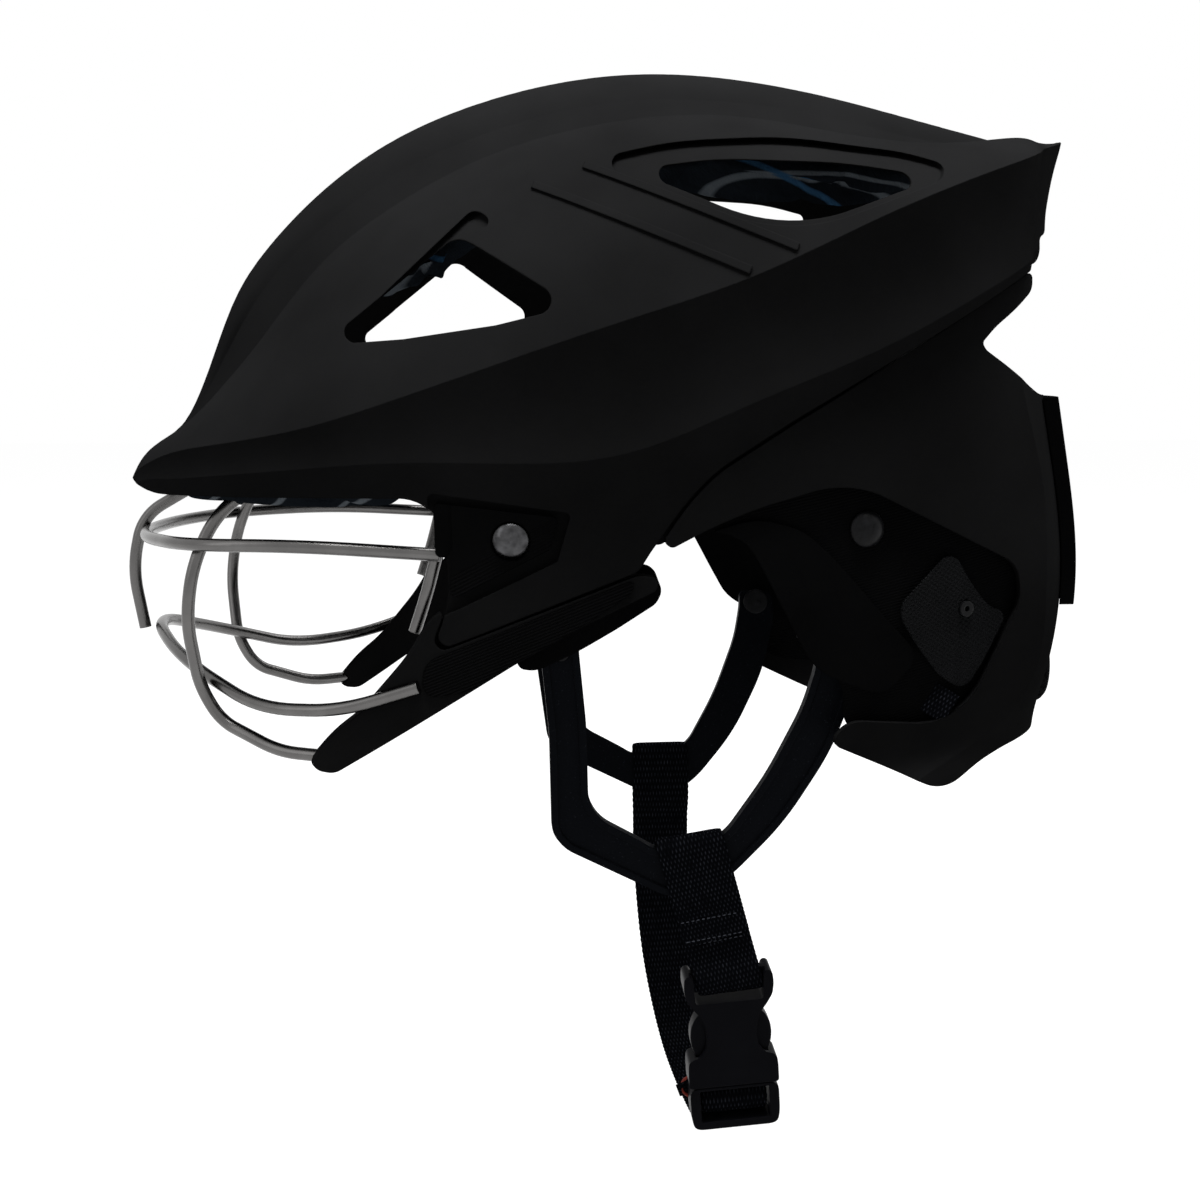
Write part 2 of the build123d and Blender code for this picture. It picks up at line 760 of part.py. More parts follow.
def build_jaw_pad():
    outer = guard_thickness + jaw_plate_thickness + 2 * seat_gap
    pad = crown_layer(outer, outer + jaw_pad_thickness, side_prism(jaw_pad_shares))
    return pad & left_half()


def build_nape_pad(front_x):
    right = [(across(y), up(z)) for y, z in nape_pad_shares]
    left = [(-y, z) for y, z in reversed(right[1:-1])]
    outline = make_face(Polyline(*right, *left, close=True))
    back = Plane(origin=(front_x - seat_gap, 0, 0), x_dir=(0, 1, 0), z_dir=(1, 0, 0))
    pad = extrude(back * outline, amount=-nape_pad_thickness)
    return fillet(pad.edges().filter_by(Axis.X), pad_round)


# Fit dial

def tooth_profile(radius_in, radius_out, width_in, width_out):
    return make_face(Polyline(
        (radius_in, -width_in / 2), (radius_out, -width_out / 2), (radius_out, width_out / 2),
        (radius_in, width_in / 2), close=True,
    ))


def build_pinion(x_low):
    pitch_radius = gear_module * gear_teeth / 2
    root = pitch_radius - gear_module * tooth_root_share
    tip = pitch_radius + gear_module * tooth_tip_share
    pitch = math.pi * gear_module
    slope = math.tan(math.radians(pressure_angle))
    base_width = pitch * tooth_width_share + 2 * slope * (pitch_radius - root)
    tip_width = pitch * tooth_width_share - 2 * slope * (tip - pitch_radius)
    gear = make_face(Circle(root).edge())
    for number in range(gear_teeth):
        tooth = tooth_profile(root - skin / 2, tip, base_width, tip_width)
        gear += Rot(0, 0, 360 * number / gear_teeth - 90) * tooth
    teeth = extrude(gear, amount=gear_width)
    return Pos(x_low, 0, dial_height) * Rot(0, 90, 0) * Rot(0, 0, 90) * teeth


def rack_bar(side):
    # A toothed bar below (left arm) or above (right arm) the pinion
    pitch_radius = gear_module * gear_teeth / 2
    pitch = math.pi * gear_module
    slope = math.tan(math.radians(pressure_angle))
    tip = pitch_radius - gear_module * tooth_tip_share
    root = pitch_radius + gear_module * tooth_root_share
    tip_width = pitch * tooth_width_share - 2 * slope * (pitch_radius - tip)
    base_width = pitch * tooth_width_share + 2 * slope * (root - pitch_radius)
    teeth = rack_teeth - 1 if side < 0 else rack_teeth
    rack_length = rack_teeth * pitch + rack_height
    profile = Pos(0, root + rack_height / 2) * Rectangle(rack_length, rack_height)
    for number in range(teeth):
        y = (number - (teeth - 1) / 2) * pitch - side * fit_travel / 2
        tooth = make_face(Polyline(
            (y - base_width / 2, root + skin / 4), (y - tip_width / 2, tip),
            (y + tip_width / 2, tip), (y + base_width / 2, root + skin / 4), close=True,
        ))
        profile += tooth
    return profile


def shell_x(inset, y, z):
    # How far back the rear shell reaches there
    axis = Axis((0, y, z), (1, 0, 0))
    return max(hit[0].X for hit in rear(inset).find_intersection_points(axis))


def fit_arm(side, x_low):
    # Each arm is a toothed bar in the housing and a band along the inside of the shell
    bar_plane = Plane(origin=(x_low, 0, dial_height), x_dir=(0, 1, 0), z_dir=(1, 0, 0))
    profile = rack_bar(side)
    if side < 0:
        profile = mirror(profile, about=Plane.XZ)
    rack = extrude(bar_plane * profile, amount=rack_thickness)
    strip = Box(length, half_width, band_height)
    start = gear_module * math.pi * rack_teeth / 2
    middle_y = side * (start + half_width / 2)
    middle_z = dial_height + side * band_offset
    strip = Pos(band_front + length / 2, middle_y, middle_z) * strip
    inset = shell_x(0, start, middle_z) - x_low - (rack_thickness + band_thickness) / 2
    band = rear_layer(inset, inset + band_thickness, strip)
    return rack + band


def build_housing(back):
    box = Pos(back - housing_depth / 2, 0, dial_height) * Box(
        housing_depth, housing_length, housing_height
    )
    box = fillet(box.edges().filter_by(Axis.X), housing_round)
    inside = gear_module * gear_teeth / 2 + gear_module * tooth_root_share + rack_height
    room = Box(
        housing_depth - 2 * housing_wall, 2 * housing_length, 2 * (inside + running_gap)
    )
    box -= Pos(back - housing_depth / 2, 0, dial_height) * room
    bore = Rot(0, 90, 0) * Cylinder(spindle_radius + running_gap, housing_depth)
    return box - Pos(back, 0, dial_height) * bore


def build_dial_pinion(back):
    x_low = back - housing_wall - running_gap - gear_width
    gear = build_pinion(x_low)
    spindle = Pos(x_low, 0, dial_height) * Rot(0, 90, 0) * Cylinder(
        spindle_radius, shell_x(0, 0, dial_height) - x_low, align=(Align.CENTER, Align.CENTER, Align.MIN)
    )
    return gear + spindle


def build_knob(back):
    front = back + running_gap
    reach = shell_x(0, 0, dial_height)
    tip = reach + knob_proud
    knob = Cylinder(knob_radius, tip - front, align=(Align.CENTER, Align.CENTER, Align.MIN))
    knob = chamfer(knob.edges().group_by(Axis.Z)[-1], knob_grip_radius)
    for number in range(knob_grips):
        notch = Pos(knob_radius + knob_grip_radius / 2, 0, 0) * Cylinder(knob_grip_radius, 4 * tip)
        knob -= Rot(0, 0, 360 * number / knob_grips) * notch
    bore = Cylinder(
        spindle_radius + stem_gap, reach + stem_gap - front,
        align=(Align.CENTER, Align.CENTER, Align.MIN),
    )
    return Pos(front, 0, dial_height) * Rot(0, 90, 0) * (knob - bore)


# Harness, straps and buckle

def lean(shape):
    # The near strap and buckle hang on one plane that leans in towards the chin
    pivot = Pos(0, -harness_side, harness_top)
    return pivot * Rot(harness_lean, 0, 0) * Pos(0, 0, -harness_top) * shape


def build_harness(sway):
    top = up(harness_shares[0][1])
    drop = up(min(z for x, z in harness_shares)) - top
    points = []
    for x, z in harness_shares:
        moved = sway * (up(z) - top) / drop
        points.append((along(x) + moved, up(z)))
    outline = rounded_face(points, half_width)
    strap = Pos(0, harness_thickness / 2, 0) * extrude(Plane.XZ * outline, amount=harness_thickness)
    channel = Plane.XZ * offset(outline, amount=-harness_rim)
    channel = Pos(0, harness_channel - harness_thickness / 2, 0) * extrude(channel, amount=harness_thickness)
    return lean(strap - channel)


def x_prism(profile, x, width):
    # A profile drawn across and up, carried along X about a middle
    plane = Plane(origin=(x - width / 2, 0, 0), x_dir=(0, 1, 0), z_dir=(1, 0, 0))
    return extrude(plane * profile, amount=width)


def harness_loop(x):
    # Webbing folded round the harness tip, in two layers
    half = harness_thickness / 2 + running_gap
    thick = strap_thickness
    top = up(loop_top_shares[1])
    middle = top - loop_length / 2
    outer = Pos(0, middle) * RectangleRounded(2 * (half + thick), loop_length + 2 * thick, half)
    inner = Pos(0, middle) * RectangleRounded(2 * half, loop_length, half * inner_round_share)
    return x_prism(outer - inner, x, strap_width)


def bar_loop(x, z):
    inner = bar_diameter / 2 + running_gap
    ring = Circle(inner + strap_thickness) - Circle(inner)
    return x_prism(Pos(0, z) * ring, x, strap_width)


def buckle_pose(shape):
    return lean(Pos(buckle_x, 0, buckle_z) * Rot(0, -buckle_tilt, 0) * shape)


def build_strap_left():
    x_top = along(loop_top_shares[0])
    low = up(loop_top_shares[1]) - loop_length - strap_thickness / 2
    bar = Pos(buckle_x, 0, buckle_z) * Rot(0, -buckle_tilt, 0) * Pos(
        0, 0, female_length - bar_diameter / 2
    )
    bar_middle = bar.position
    ring_top = bar_middle.Z + bar_diameter / 2 + running_gap + strap_thickness / 2
    half = strap_width / 2
    web = Plane.XZ * make_face(Polyline(
        (x_top - half, low), (x_top + half, low), (bar_middle.X + half, ring_top),
        (bar_middle.X - half, ring_top), close=True,
    ))
    web = Pos(0, strap_thickness, 0) * extrude(web, amount=2 * strap_thickness)
    ring = bar * bar_loop(0, 0)
    return lean(harness_loop(x_top) + web + ring)


def build_strap_right(male_bar):
    shift = far_loop_shift
    loop = mirrored(lean(harness_loop(along(loop_top_shares[0]) + shift)))
    start = mirrored(lean(Pos(along(loop_top_shares[0]) + shift, 0, up(loop_top_shares[1])
        - loop_length - strap_thickness / 2) * Sphere(strap_thickness))).center()
    ring = buckle_pose(bar_loop(0, male_bar))
    end = ring.center()
    route = [(start.X, start.Y, start.Z)]
    for y, z in far_strap_route_shares:
        share = (start.Y - across(y)) / (start.Y - end.Y)
        route.append((start.X + (end.X - start.X) * share, across(y), up(z)))
    reach = bar_diameter / 2 + running_gap + strap_thickness / 2
    route.append((end.X, end.Y + reach, end.Z - reach))
    path = FilletPolyline(*route, radius=bends_for(route))
    flat = Plane(path @ 0, x_dir=(1, 0, 0), z_dir=path % 0)
    web = sweep(flat * Rectangle(strap_width, strap_thickness), path=path)
    return loop + web + ring


def half_outline(points):
    return Polyline(*points, *[(-x, z) for x, z in reversed(points)], close=True)


def buckle_slab(points, thickness):
    face = Plane.XZ * make_face(half_outline(points))
    return Pos(0, thickness / 2, 0) * extrude(face, amount=thickness)


def female_outline():
    half, waist = buckle_width / 2, buckle_waist / 2
    shoulder = prong_reach - prong_swell
    return [
        (half, 0), (half, shoulder / 2), (half - skin, shoulder * neck_share),
        (waist, prong_reach + prong_swell), (waist, female_length - 2 * slot_height),
        (half - skin, female_length - slot_height), (half, female_length),
    ]


def build_buckle_female():
    body = buckle_slab(female_outline(), buckle_thickness)
    body = fillet(body.edges().filter_by(Axis.Y), skin)
    slot_low = female_length - bar_diameter - slot_height
    slot = Box(buckle_slot_width, 3 * buckle_thickness, slot_height)
    body -= Pos(0, 0, slot_low + slot_height / 2) * slot
    room_height = prong_reach + running_gap
    room_depth = prong_thickness + 2 * running_gap
    room = Box(buckle_width - prong_width - prong_width / 2, room_depth, room_height)
    body -= Pos(0, 0, room_height / 2) * room
    low = prong_reach * window_share
    window = Pos(0, 0, (low + room_height) / 2) * Box(
        2 * buckle_width, room_depth, room_height - low
    )
    body -= window
    trim = Pos(0, 0, female_length - bar_diameter / 2) * Rot(0, 90, 0)
    bar_zone = Pos(0, 0, female_length - bar_diameter / 2) * Box(
        buckle_slot_width, 2 * buckle_thickness, bar_diameter + 2 * skin
    )
    bar = trim * Cylinder(bar_diameter / 2, strap_width + 2 * skin)
    body = (body - bar_zone) + bar
    return buckle_pose(body)


def build_buckle_male():
    half = buckle_width / 2
    frame = buckle_slab([
        (half - 2 * skin, -male_length), (half - skin, -male_length + skin), (half, -joint_gap),
    ], buckle_thickness - 2 * skin)
    frame = fillet(frame.edges().filter_by(Axis.Y), skin)
    slot_low = -male_length + bar_diameter
    frame -= Pos(0, 0, slot_low + slot_height / 2) * Box(
        buckle_slot_width, 3 * buckle_thickness, slot_height
    )
    zone = Pos(0, 0, -male_length + bar_diameter / 2) * Box(
        buckle_slot_width, 2 * buckle_thickness, bar_diameter + 2 * skin
    )
    bar = Pos(0, 0, -male_length + bar_diameter / 2) * Rot(0, 90, 0) * Cylinder(
        bar_diameter / 2, strap_width + 2 * skin
    )
    guide = Pos(0, 0, prong_reach / 2 - joint_gap - skin) * Box(
        guide_width, prong_thickness, prong_reach - skin
    )
    return buckle_pose((frame - zone) + bar + guide)


def build_prong():
    # The left prong in the buckle's own frame; its swell fills the side window
    root_x = buckle_width / 2 - prong_width - prong_swell
    swell_x = buckle_width / 2 + prong_swell * swell_share
    low = prong_reach * window_share + running_gap
    top = prong_reach - running_gap
    points = [
        (-root_x, 0), (-root_x - prong_width, 0), (-root_x - prong_width, low * neck_share),
        (-root_x - prong_width, low), (-swell_x, low + skin), (-swell_x, low + 2 * skin),
        (-root_x - prong_width, top), (-root_x, top),
    ]
    face = Plane.XZ * make_face(Polyline(*points, close=True))
    return Pos(0, prong_thickness / 2, 0) * extrude(face, amount=prong_thickness)


def build_anchor_studs():
    # Studs that hold the harness ends to the jaw plate and the ear guard
    studs = []
    inner_faces = (
        crown(guard_thickness + seat_gap + jaw_plate_thickness),
        rear(wall + seat_gap + ear_guard_thickness),
    )
    for body, shares in zip(inner_faces, harness_anchor_shares):
        point = surface_point(body, shares)[0]
        middle = lean(Pos(along(shares[0]), 0, up(shares[1])) * Sphere(skin)).center()
        slope = math.tan(math.radians(harness_lean))
        inner_y = middle.Y + harness_thickness / 2 + anchor_head_radius * slope + seat_gap
        outer_y = point.Y + joint_gap
        stem = Rot(-90, 0, 0) * Cylinder(
            anchor_stem_radius, inner_y - outer_y + anchor_head_height,
            align=(Align.CENTER, Align.CENTER, Align.MIN),
        )
        head = Pos(0, inner_y - outer_y, 0) * Rot(-90, 0, 0) * Cylinder(
            anchor_head_radius, anchor_head_height, align=(Align.CENTER, Align.CENTER, Align.MIN)
        )
        studs.append(Pos(point.X, outer_y, point.Z) * (stem + head))
    return studs


def holed_harness(sway, studs):
    strap = build_harness(sway)
    for stud in studs:
        middle = stud.center()
        bore = Rot(90, 0, 0) * Cylinder(anchor_stem_radius + running_gap, half_width)
        strap -= Pos(middle.X, middle.Y, middle.Z) * bore
    return strap


os.makedirs("parts", exist_ok=True)

write("crown_shell", build_crown_shell())
write("rear_shell", build_rear_shell())
write("rear_bumper", build_bumper())
write_pair("ear_guard", build_ear_guard())
write_pair("tab", build_tab())
write_pair("tab_strap", build_tab_strap())
write("tab_rivets", build_tab_rivets())
write_pair("mask_plate", build_mask_plate())
write_pair("jaw_guard", build_jaw_guard())
write_pair("jaw_rail", build_jaw_rail())
write("front_rivets", build_rivets(crown(0), front_rivet_shares, skin / 2, 2 * wall))
write("rear_rivets", build_rivets(rear(0), rear_rivet_shares, wall, 2 * wall))
side_bars = (side_bar_shares, other_side(side_bar_shares))
write("brow_bar", welded(whole_wire(brow_bar_shares), side_bars + (centre_bar_shares,)))
write("mid_bar", welded(whole_wire(mid_bar_shares), side_bars + (centre_bar_shares,)))
write("centre_bar", round_wire(centre_bar_shares))
write_pair("side_bar", round_wire(side_bar_shares))
write_pair("end_wire", round_wire(end_wire_shares, end_wire_diameter))
write("brow_clip", build_brow_clip())
write("clip_screws", build_clip_screws())
write("brow_pad", build_brow_pad())
write("crown_pad", build_crown_pad())
write_pair("side_pad", build_side_pad())
write_pair("jaw_plate", build_jaw_plate())
write_pair("jaw_pad", build_jaw_pad())

housing_low = dial_height - housing_height / 2
housing_back = shell_x(wall, housing_length / 2, housing_low) - joint_gap
rack_x = housing_back - housing_wall - running_gap - (gear_width + rack_thickness) / 2
write("dial_housing", build_housing(housing_back))
write("dial_pinion", build_dial_pinion(housing_back))
write("dial_knob", build_knob(housing_back))
write("fit_arm_left", fit_arm(-1, rack_x))
write("fit_arm_right", fit_arm(1, rack_x))
write("nape_pad", build_nape_pad(housing_back - housing_depth))

left_studs = build_anchor_studs()
write("harness_studs", Compound(children=left_studs + [mirrored(stud) for stud in left_studs]))
write("harness_left", holed_harness(0, left_studs))
write("harness_right", mirrored(holed_harness(far_sway, left_studs)))
write("strap_left", build_strap_left())
write("strap_right", build_strap_right(-male_length + bar_diameter / 2))
write("buckle_female", build_buckle_female())
write("buckle_male", build_buckle_male())
prong = build_prong()
write("prong_left", buckle_pose(prong))
write("prong_right", buckle_pose(mirror(prong, about=Plane.YZ)))
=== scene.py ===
import math

import bmesh
import bpy
from mathutils import Matrix, Vector
from mathutils.bvhtree import BVHTree


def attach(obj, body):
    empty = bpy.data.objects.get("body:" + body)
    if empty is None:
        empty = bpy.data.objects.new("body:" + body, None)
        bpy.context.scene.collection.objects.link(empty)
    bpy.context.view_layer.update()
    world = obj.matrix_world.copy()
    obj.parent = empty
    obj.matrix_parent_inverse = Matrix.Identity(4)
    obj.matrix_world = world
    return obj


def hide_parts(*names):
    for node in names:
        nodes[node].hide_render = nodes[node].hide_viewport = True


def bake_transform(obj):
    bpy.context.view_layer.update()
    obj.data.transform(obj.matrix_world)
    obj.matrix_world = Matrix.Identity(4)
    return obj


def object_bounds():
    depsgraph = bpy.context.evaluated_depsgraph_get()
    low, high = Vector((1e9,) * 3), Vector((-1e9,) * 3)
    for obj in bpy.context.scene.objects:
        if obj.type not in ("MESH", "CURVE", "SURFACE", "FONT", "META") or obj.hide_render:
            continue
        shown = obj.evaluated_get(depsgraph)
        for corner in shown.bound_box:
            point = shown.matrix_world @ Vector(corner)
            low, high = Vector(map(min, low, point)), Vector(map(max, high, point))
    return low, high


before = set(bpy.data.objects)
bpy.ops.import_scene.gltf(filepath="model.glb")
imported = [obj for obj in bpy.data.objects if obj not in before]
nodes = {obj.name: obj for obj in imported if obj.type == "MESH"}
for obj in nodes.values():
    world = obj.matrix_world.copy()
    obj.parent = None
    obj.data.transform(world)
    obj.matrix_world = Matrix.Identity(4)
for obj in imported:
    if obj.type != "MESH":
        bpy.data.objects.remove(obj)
cad_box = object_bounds()

# Sizes in metres
webbing_width = 0.019
webbing_thickness = 0.0013
near_rib = 0.0014
far_rib = 0.0021
yarn = 0.0011
seam_width = 0.0035
seam_depth = 0.0016
ring_radius = 0.0027
ring_wire = 0.00045
buckle_travel = 0.03
floor_gap = 0.004

# The studio's fill light, and the floor's own tone and glow
fill_strength = 0.1
floor_tone = 0.3
floor_glow = 0.96

cloth_frames = 20


# Camera at the photograph's viewing angle

def set_camera():
    data = bpy.data.cameras.new("camera")
    data.lens = 58.07
    data.sensor_width = 36.0
    data.sensor_fit = "HORIZONTAL"
    data.clip_start = 0.02
    data.clip_end = 30.0
    camera = bpy.data.objects.new("camera", data)
    right = Vector((0.99692, -0.07846, 0.0))
    upward = Vector((0.00943, 0.11977, 0.99276))
    back = right.cross(upward)
    turn = Matrix((right, upward, back)).transposed()
    place = Matrix.Translation((-0.0747345, -0.593818, 0.069082))
    camera.matrix_world = place @ turn.to_4x4()
    bpy.context.scene.collection.objects.link(camera)
    bpy.context.scene.camera = camera


# Studio

def area_light(name, place, target, size, power):
    data = bpy.data.lights.new(name, "AREA")
    data.shape = "RECTANGLE"
    data.size, data.size_y = size
    data.energy = power
    lamp = bpy.data.objects.new(name, data)
    lamp.location = place
    aim = Vector(target) - Vector(place)
    lamp.rotation_euler = aim.to_track_quat("-Z", "Y").to_euler()
    bpy.context.scene.collection.objects.link(lamp)


def seen_rays(tree):
    # 1 for what the camera, a reflection or a clear material sees, 0 for light on the object
    rays = tree.nodes.new("ShaderNodeLightPath")
    seen = rays.outputs["Is Camera Ray"]
    for kind in ("Is Glossy Ray", "Is Transmission Ray"):
        either = tree.nodes.new("ShaderNodeMath")
        either.operation = "MAXIMUM"
        tree.links.new(seen, either.inputs[0])
        tree.links.new(rays.outputs[kind], either.inputs[1])
        seen = either.outputs[0]
    return seen


def make_world():
    world = bpy.data.worlds.new("studio")
    bpy.context.scene.world = world
    world.use_nodes = True
    tree = world.node_tree
    tree.nodes.clear()
    out = tree.nodes.new("ShaderNodeOutputWorld")
    plain = tree.nodes.new("ShaderNodeBackground")
    plain.inputs["Color"].default_value = (1, 1, 1, 1)
    plain.inputs["Strength"].default_value = fill_strength
    white = tree.nodes.new("ShaderNodeBackground")
    white.inputs["Color"].default_value = (1, 1, 1, 1)
    white.inputs["Strength"].default_value = 1.0
    mix = tree.nodes.new("ShaderNodeMixShader")
    tree.links.new(seen_rays(tree), mix.inputs[0])
    tree.links.new(plain.outputs[0], mix.inputs[1])
    tree.links.new(white.outputs[0], mix.inputs[2])
    tree.links.new(mix.outputs[0], out.inputs[0])


def make_floor(height):
    bpy.ops.mesh.primitive_plane_add(size=12, location=(0, 0, height))
    floor = bpy.context.object
    floor.name = "floor"
    material = bpy.data.materials.new("floor_white")
    material.use_nodes = True
    tree = material.node_tree
    tree.nodes.clear()
    matte = tree.nodes.new("ShaderNodeBsdfDiffuse")
    matte.inputs["Color"].default_value = (floor_tone, floor_tone, floor_tone, 1)
    glow = tree.nodes.new("ShaderNodeEmission")
    strength = tree.nodes.new("ShaderNodeMath")
    strength.operation = "MULTIPLY"
    strength.inputs[1].default_value = floor_glow
    tree.links.new(seen_rays(tree), strength.inputs[0])
    tree.links.new(strength.outputs[0], glow.inputs["Strength"])
    both = tree.nodes.new("ShaderNodeAddShader")
    tree.links.new(matte.outputs[0], both.inputs[0])
    tree.links.new(glow.outputs[0], both.inputs[1])
    out = tree.nodes.new("ShaderNodeOutputMaterial")
    tree.links.new(both.outputs[0], out.inputs[0])
    floor.data.materials.append(material)


# Materials

def wave_scale(pitch):
    # The wave texture's scale for bands that are this far apart
    return 2 * math.pi / (20 * pitch)


class Shader:
    # A Principled material with small helpers for its pattern nodes

    def __init__(self, name, colour, rough, metal=0.0, **sockets):
        self.material = bpy.data.materials.new(name)
        self.material.use_nodes = True
        self.material.diffuse_color = (*colour, 1)
        self.tree = self.material.node_tree
        self.shader = self.tree.nodes["Principled BSDF"]
        self.set("Base Color", (*colour, 1))
        self.set("Roughness", rough)
        self.set("Metallic", metal)
        for key, value in sockets.items():
            self.set(key.replace("_", " ").capitalize(), value)
        self.colour = colour
        self.rough = rough
        self.place = self.add("ShaderNodeTexCoord").outputs["Object"]
        edge = self.add("ShaderNodeBevel", samples=4)
        edge.inputs["Radius"].default_value = 0.0006
        self.normal = edge.outputs[0]

    def set(self, socket, value):
        for found in self.shader.inputs:
            if found.name.lower() == socket.lower():
                found.default_value = value
                return

    def add(self, kind, **settings):
        node = self.tree.nodes.new(kind)
        for key, value in settings.items():
            setattr(node, key, value)
        return node

    def link(self, out, into):
        self.tree.links.new(out, into)

    def mapped(self, turn):
        node = self.add("ShaderNodeMapping")
        node.inputs["Rotation"].default_value = [math.radians(a) for a in turn]
        self.link(self.place, node.inputs["Vector"])
        return node.outputs[0]

    def noise(self, scale, detail=2.0):
        node = self.add("ShaderNodeTexNoise")
        node.inputs["Scale"].default_value = scale
        node.inputs["Detail"].default_value = detail
        self.link(self.place, node.inputs["Vector"])
        return node.outputs["Fac"]

    def wave(self, scale, turn=(0, 0, 0), axis="X"):
        node = self.add("ShaderNodeTexWave", wave_profile="SIN", bands_direction=axis)
        node.inputs["Scale"].default_value = scale
        self.link(self.mapped(turn), node.inputs["Vector"])
        return node.outputs["Fac"]

    def rings(self, pitch, centre):
        # Curved lines this far apart round a centre
        node = self.add("ShaderNodeTexWave", wave_type="RINGS", rings_direction="SPHERICAL")
        node.inputs["Scale"].default_value = wave_scale(pitch)
        node.inputs["Distortion"].default_value = 2.5
        node.inputs["Detail Scale"].default_value = 0.6
        offset = self.add("ShaderNodeVectorMath", operation="SUBTRACT")
        offset.inputs[1].default_value = centre
        self.link(self.place, offset.inputs[0])
        self.link(offset.outputs[0], node.inputs["Vector"])
        return node.outputs["Fac"]

    def below_line(self, point, slope):
        # 1 below a line across the side of the helmet, 0 above it
        angle = math.radians(slope)
        offset = self.add("ShaderNodeVectorMath", operation="SUBTRACT")
        offset.inputs[1].default_value = point
        self.link(self.place, offset.inputs[0])
        dot = self.add("ShaderNodeVectorMath", operation="DOT_PRODUCT")
        dot.inputs[1].default_value = (-math.sin(angle), 0, math.cos(angle))
        self.link(offset.outputs[0], dot.inputs[0])
        return self.math("LESS_THAN", dot.outputs["Value"], 0.0)

    def cells(self, scale):
        node = self.add("ShaderNodeTexVoronoi")
        node.inputs["Scale"].default_value = scale
        self.link(self.place, node.inputs["Vector"])
        return node.outputs["Distance"]

    def ramp(self, value, stops):
        node = self.add("ShaderNodeValToRGB")
        ramp = node.color_ramp
        while len(ramp.elements) < len(stops):
            ramp.elements.new(0.5)
        for element, (at, tone) in zip(ramp.elements, stops):
            element.position = at
            element.color = (*tone, 1)
        self.link(value, node.inputs[0])
        return node.outputs["Color"]

    def math(self, operation, a, b):
        node = self.add("ShaderNodeMath", operation=operation)
        for socket, value in zip(node.inputs, (a, b)):
            if isinstance(value, (int, float)):
                socket.default_value = value
            else:
                self.link(value, socket)
        return node.outputs[0]

    def bump(self, height, strength, distance=0.0005):
        node = self.add("ShaderNodeBump")
        node.inputs["Strength"].default_value = strength
        node.inputs["Distance"].default_value = distance
        self.link(height, node.inputs["Height"])
        self.link(self.normal, node.inputs["Normal"])
        self.normal = node.outputs[0]
        self.link(self.normal, self.shader.inputs["Normal"])

    def vary(self, scale=30.0, tone=0.25, rough=0.08):
        # Slow drift of colour and roughness over the surface
        value = self.noise(scale, 4.0)
        low = tuple(c * (1 - tone) for c in self.colour)
        high = tuple(min(1.0, c * (1 + tone)) for c in self.colour)
        self.link(self.ramp(value, ((0.3, low), (0.7, high))), self.shader.inputs["Base Color"])
        node = self.add("ShaderNodeMapRange")
        node.inputs["To Min"].default_value = max(0.0, self.rough - rough)
        node.inputs["To Max"].default_value = min(1.0, self.rough + rough)
        self.link(value, node.inputs["Value"])
        self.link(node.outputs[0], self.shader.inputs["Roughness"])

    def pattern(self, mask, stops):
        self.link(self.ramp(mask, stops), self.shader.inputs["Base Color"])


def shell_material():
    m = Shader("shell_black", (0.0172, 0.0173, 0.0178), 0.6, specular_ior_level=0.0)
    m.vary(22.0, 0.18, 0.05)
    m.bump(m.noise(1700.0, 3.0), 0.16, 0.0002)
    return m.material


def guard_material():
    m = Shader("guard_plastic", (0.008, 0.0081, 0.0085), 0.5, specular_ior_level=0.0)
    m.vary(35.0, 0.2, 0.06)
    m.bump(m.noise(1400.0, 3.0), 0.18, 0.0002)
    return m.material


def ribbed_material(name, slope, pitch, strength=0.8, only_below=None):
    # Fine moulded ribs along a slope, below a line through only_below if it is given
    m = Shader(name, (0.008, 0.0081, 0.0085), 0.5, specular_ior_level=0.0)
    m.vary(35.0, 0.2, 0.05)
    ribs = m.wave(wave_scale(pitch), (0, slope, 0), axis="Z")
    if only_below:
        point, angle = only_below
        ribs = m.math("MULTIPLY", ribs, m.below_line(point, angle))
    m.bump(ribs, strength, 0.0004)
    m.bump(m.noise(1500.0), 0.1, 0.0002)
    return m.material


def steel_material():
    m = Shader("brushed_wire", (0.12, 0.117, 0.115), 0.24, 1.0)
    m.vary(120.0, 0.12, 0.05)
    m.bump(m.noise(1500.0, 3.0), 0.12, 0.0001)
    return m.material


def chrome_material():
    m = Shader("polished_rivet", (0.05, 0.05, 0.052), 0.2, 1.0)
    m.vary(420.0, 0.5, 0.06)
    m.bump(m.noise(900.0), 0.12, 0.0001)
    return m.material


def dark_metal_material():
    m = Shader("dark_rivet", (0.011, 0.0112, 0.0125), 0.3, 0.0, specular_ior_level=0.08)
    m.vary(500.0, 0.5, 0.08)
    m.bump(m.noise(900.0), 0.08, 0.0001)
    return m.material


def knurl_material():
    m = Shader("knurled_rubber", (0.024, 0.0245, 0.026), 0.5, specular_ior_level=0.0)
    m.vary(60.0, 0.15, 0.05)
    first = m.wave(wave_scale(0.00115), (0, 48, 0), axis="Z")
    second = m.wave(wave_scale(0.00115), (0, -30, 0), axis="Z")
    m.bump(m.math("MULTIPLY", first, second), 0.9, 0.0006)
    return m.material


def bumper_material():
    m = Shader("bumper_rubber", (0.006, 0.0061, 0.0065), 0.6, specular_ior_level=0.0)
    m.vary(40.0, 0.2, 0.05)
    m.bump(m.wave(wave_scale(0.004), axis="Y"), 0.5, 0.0008)
    m.bump(m.noise(1200.0), 0.2, 0.0002)
    return m.material


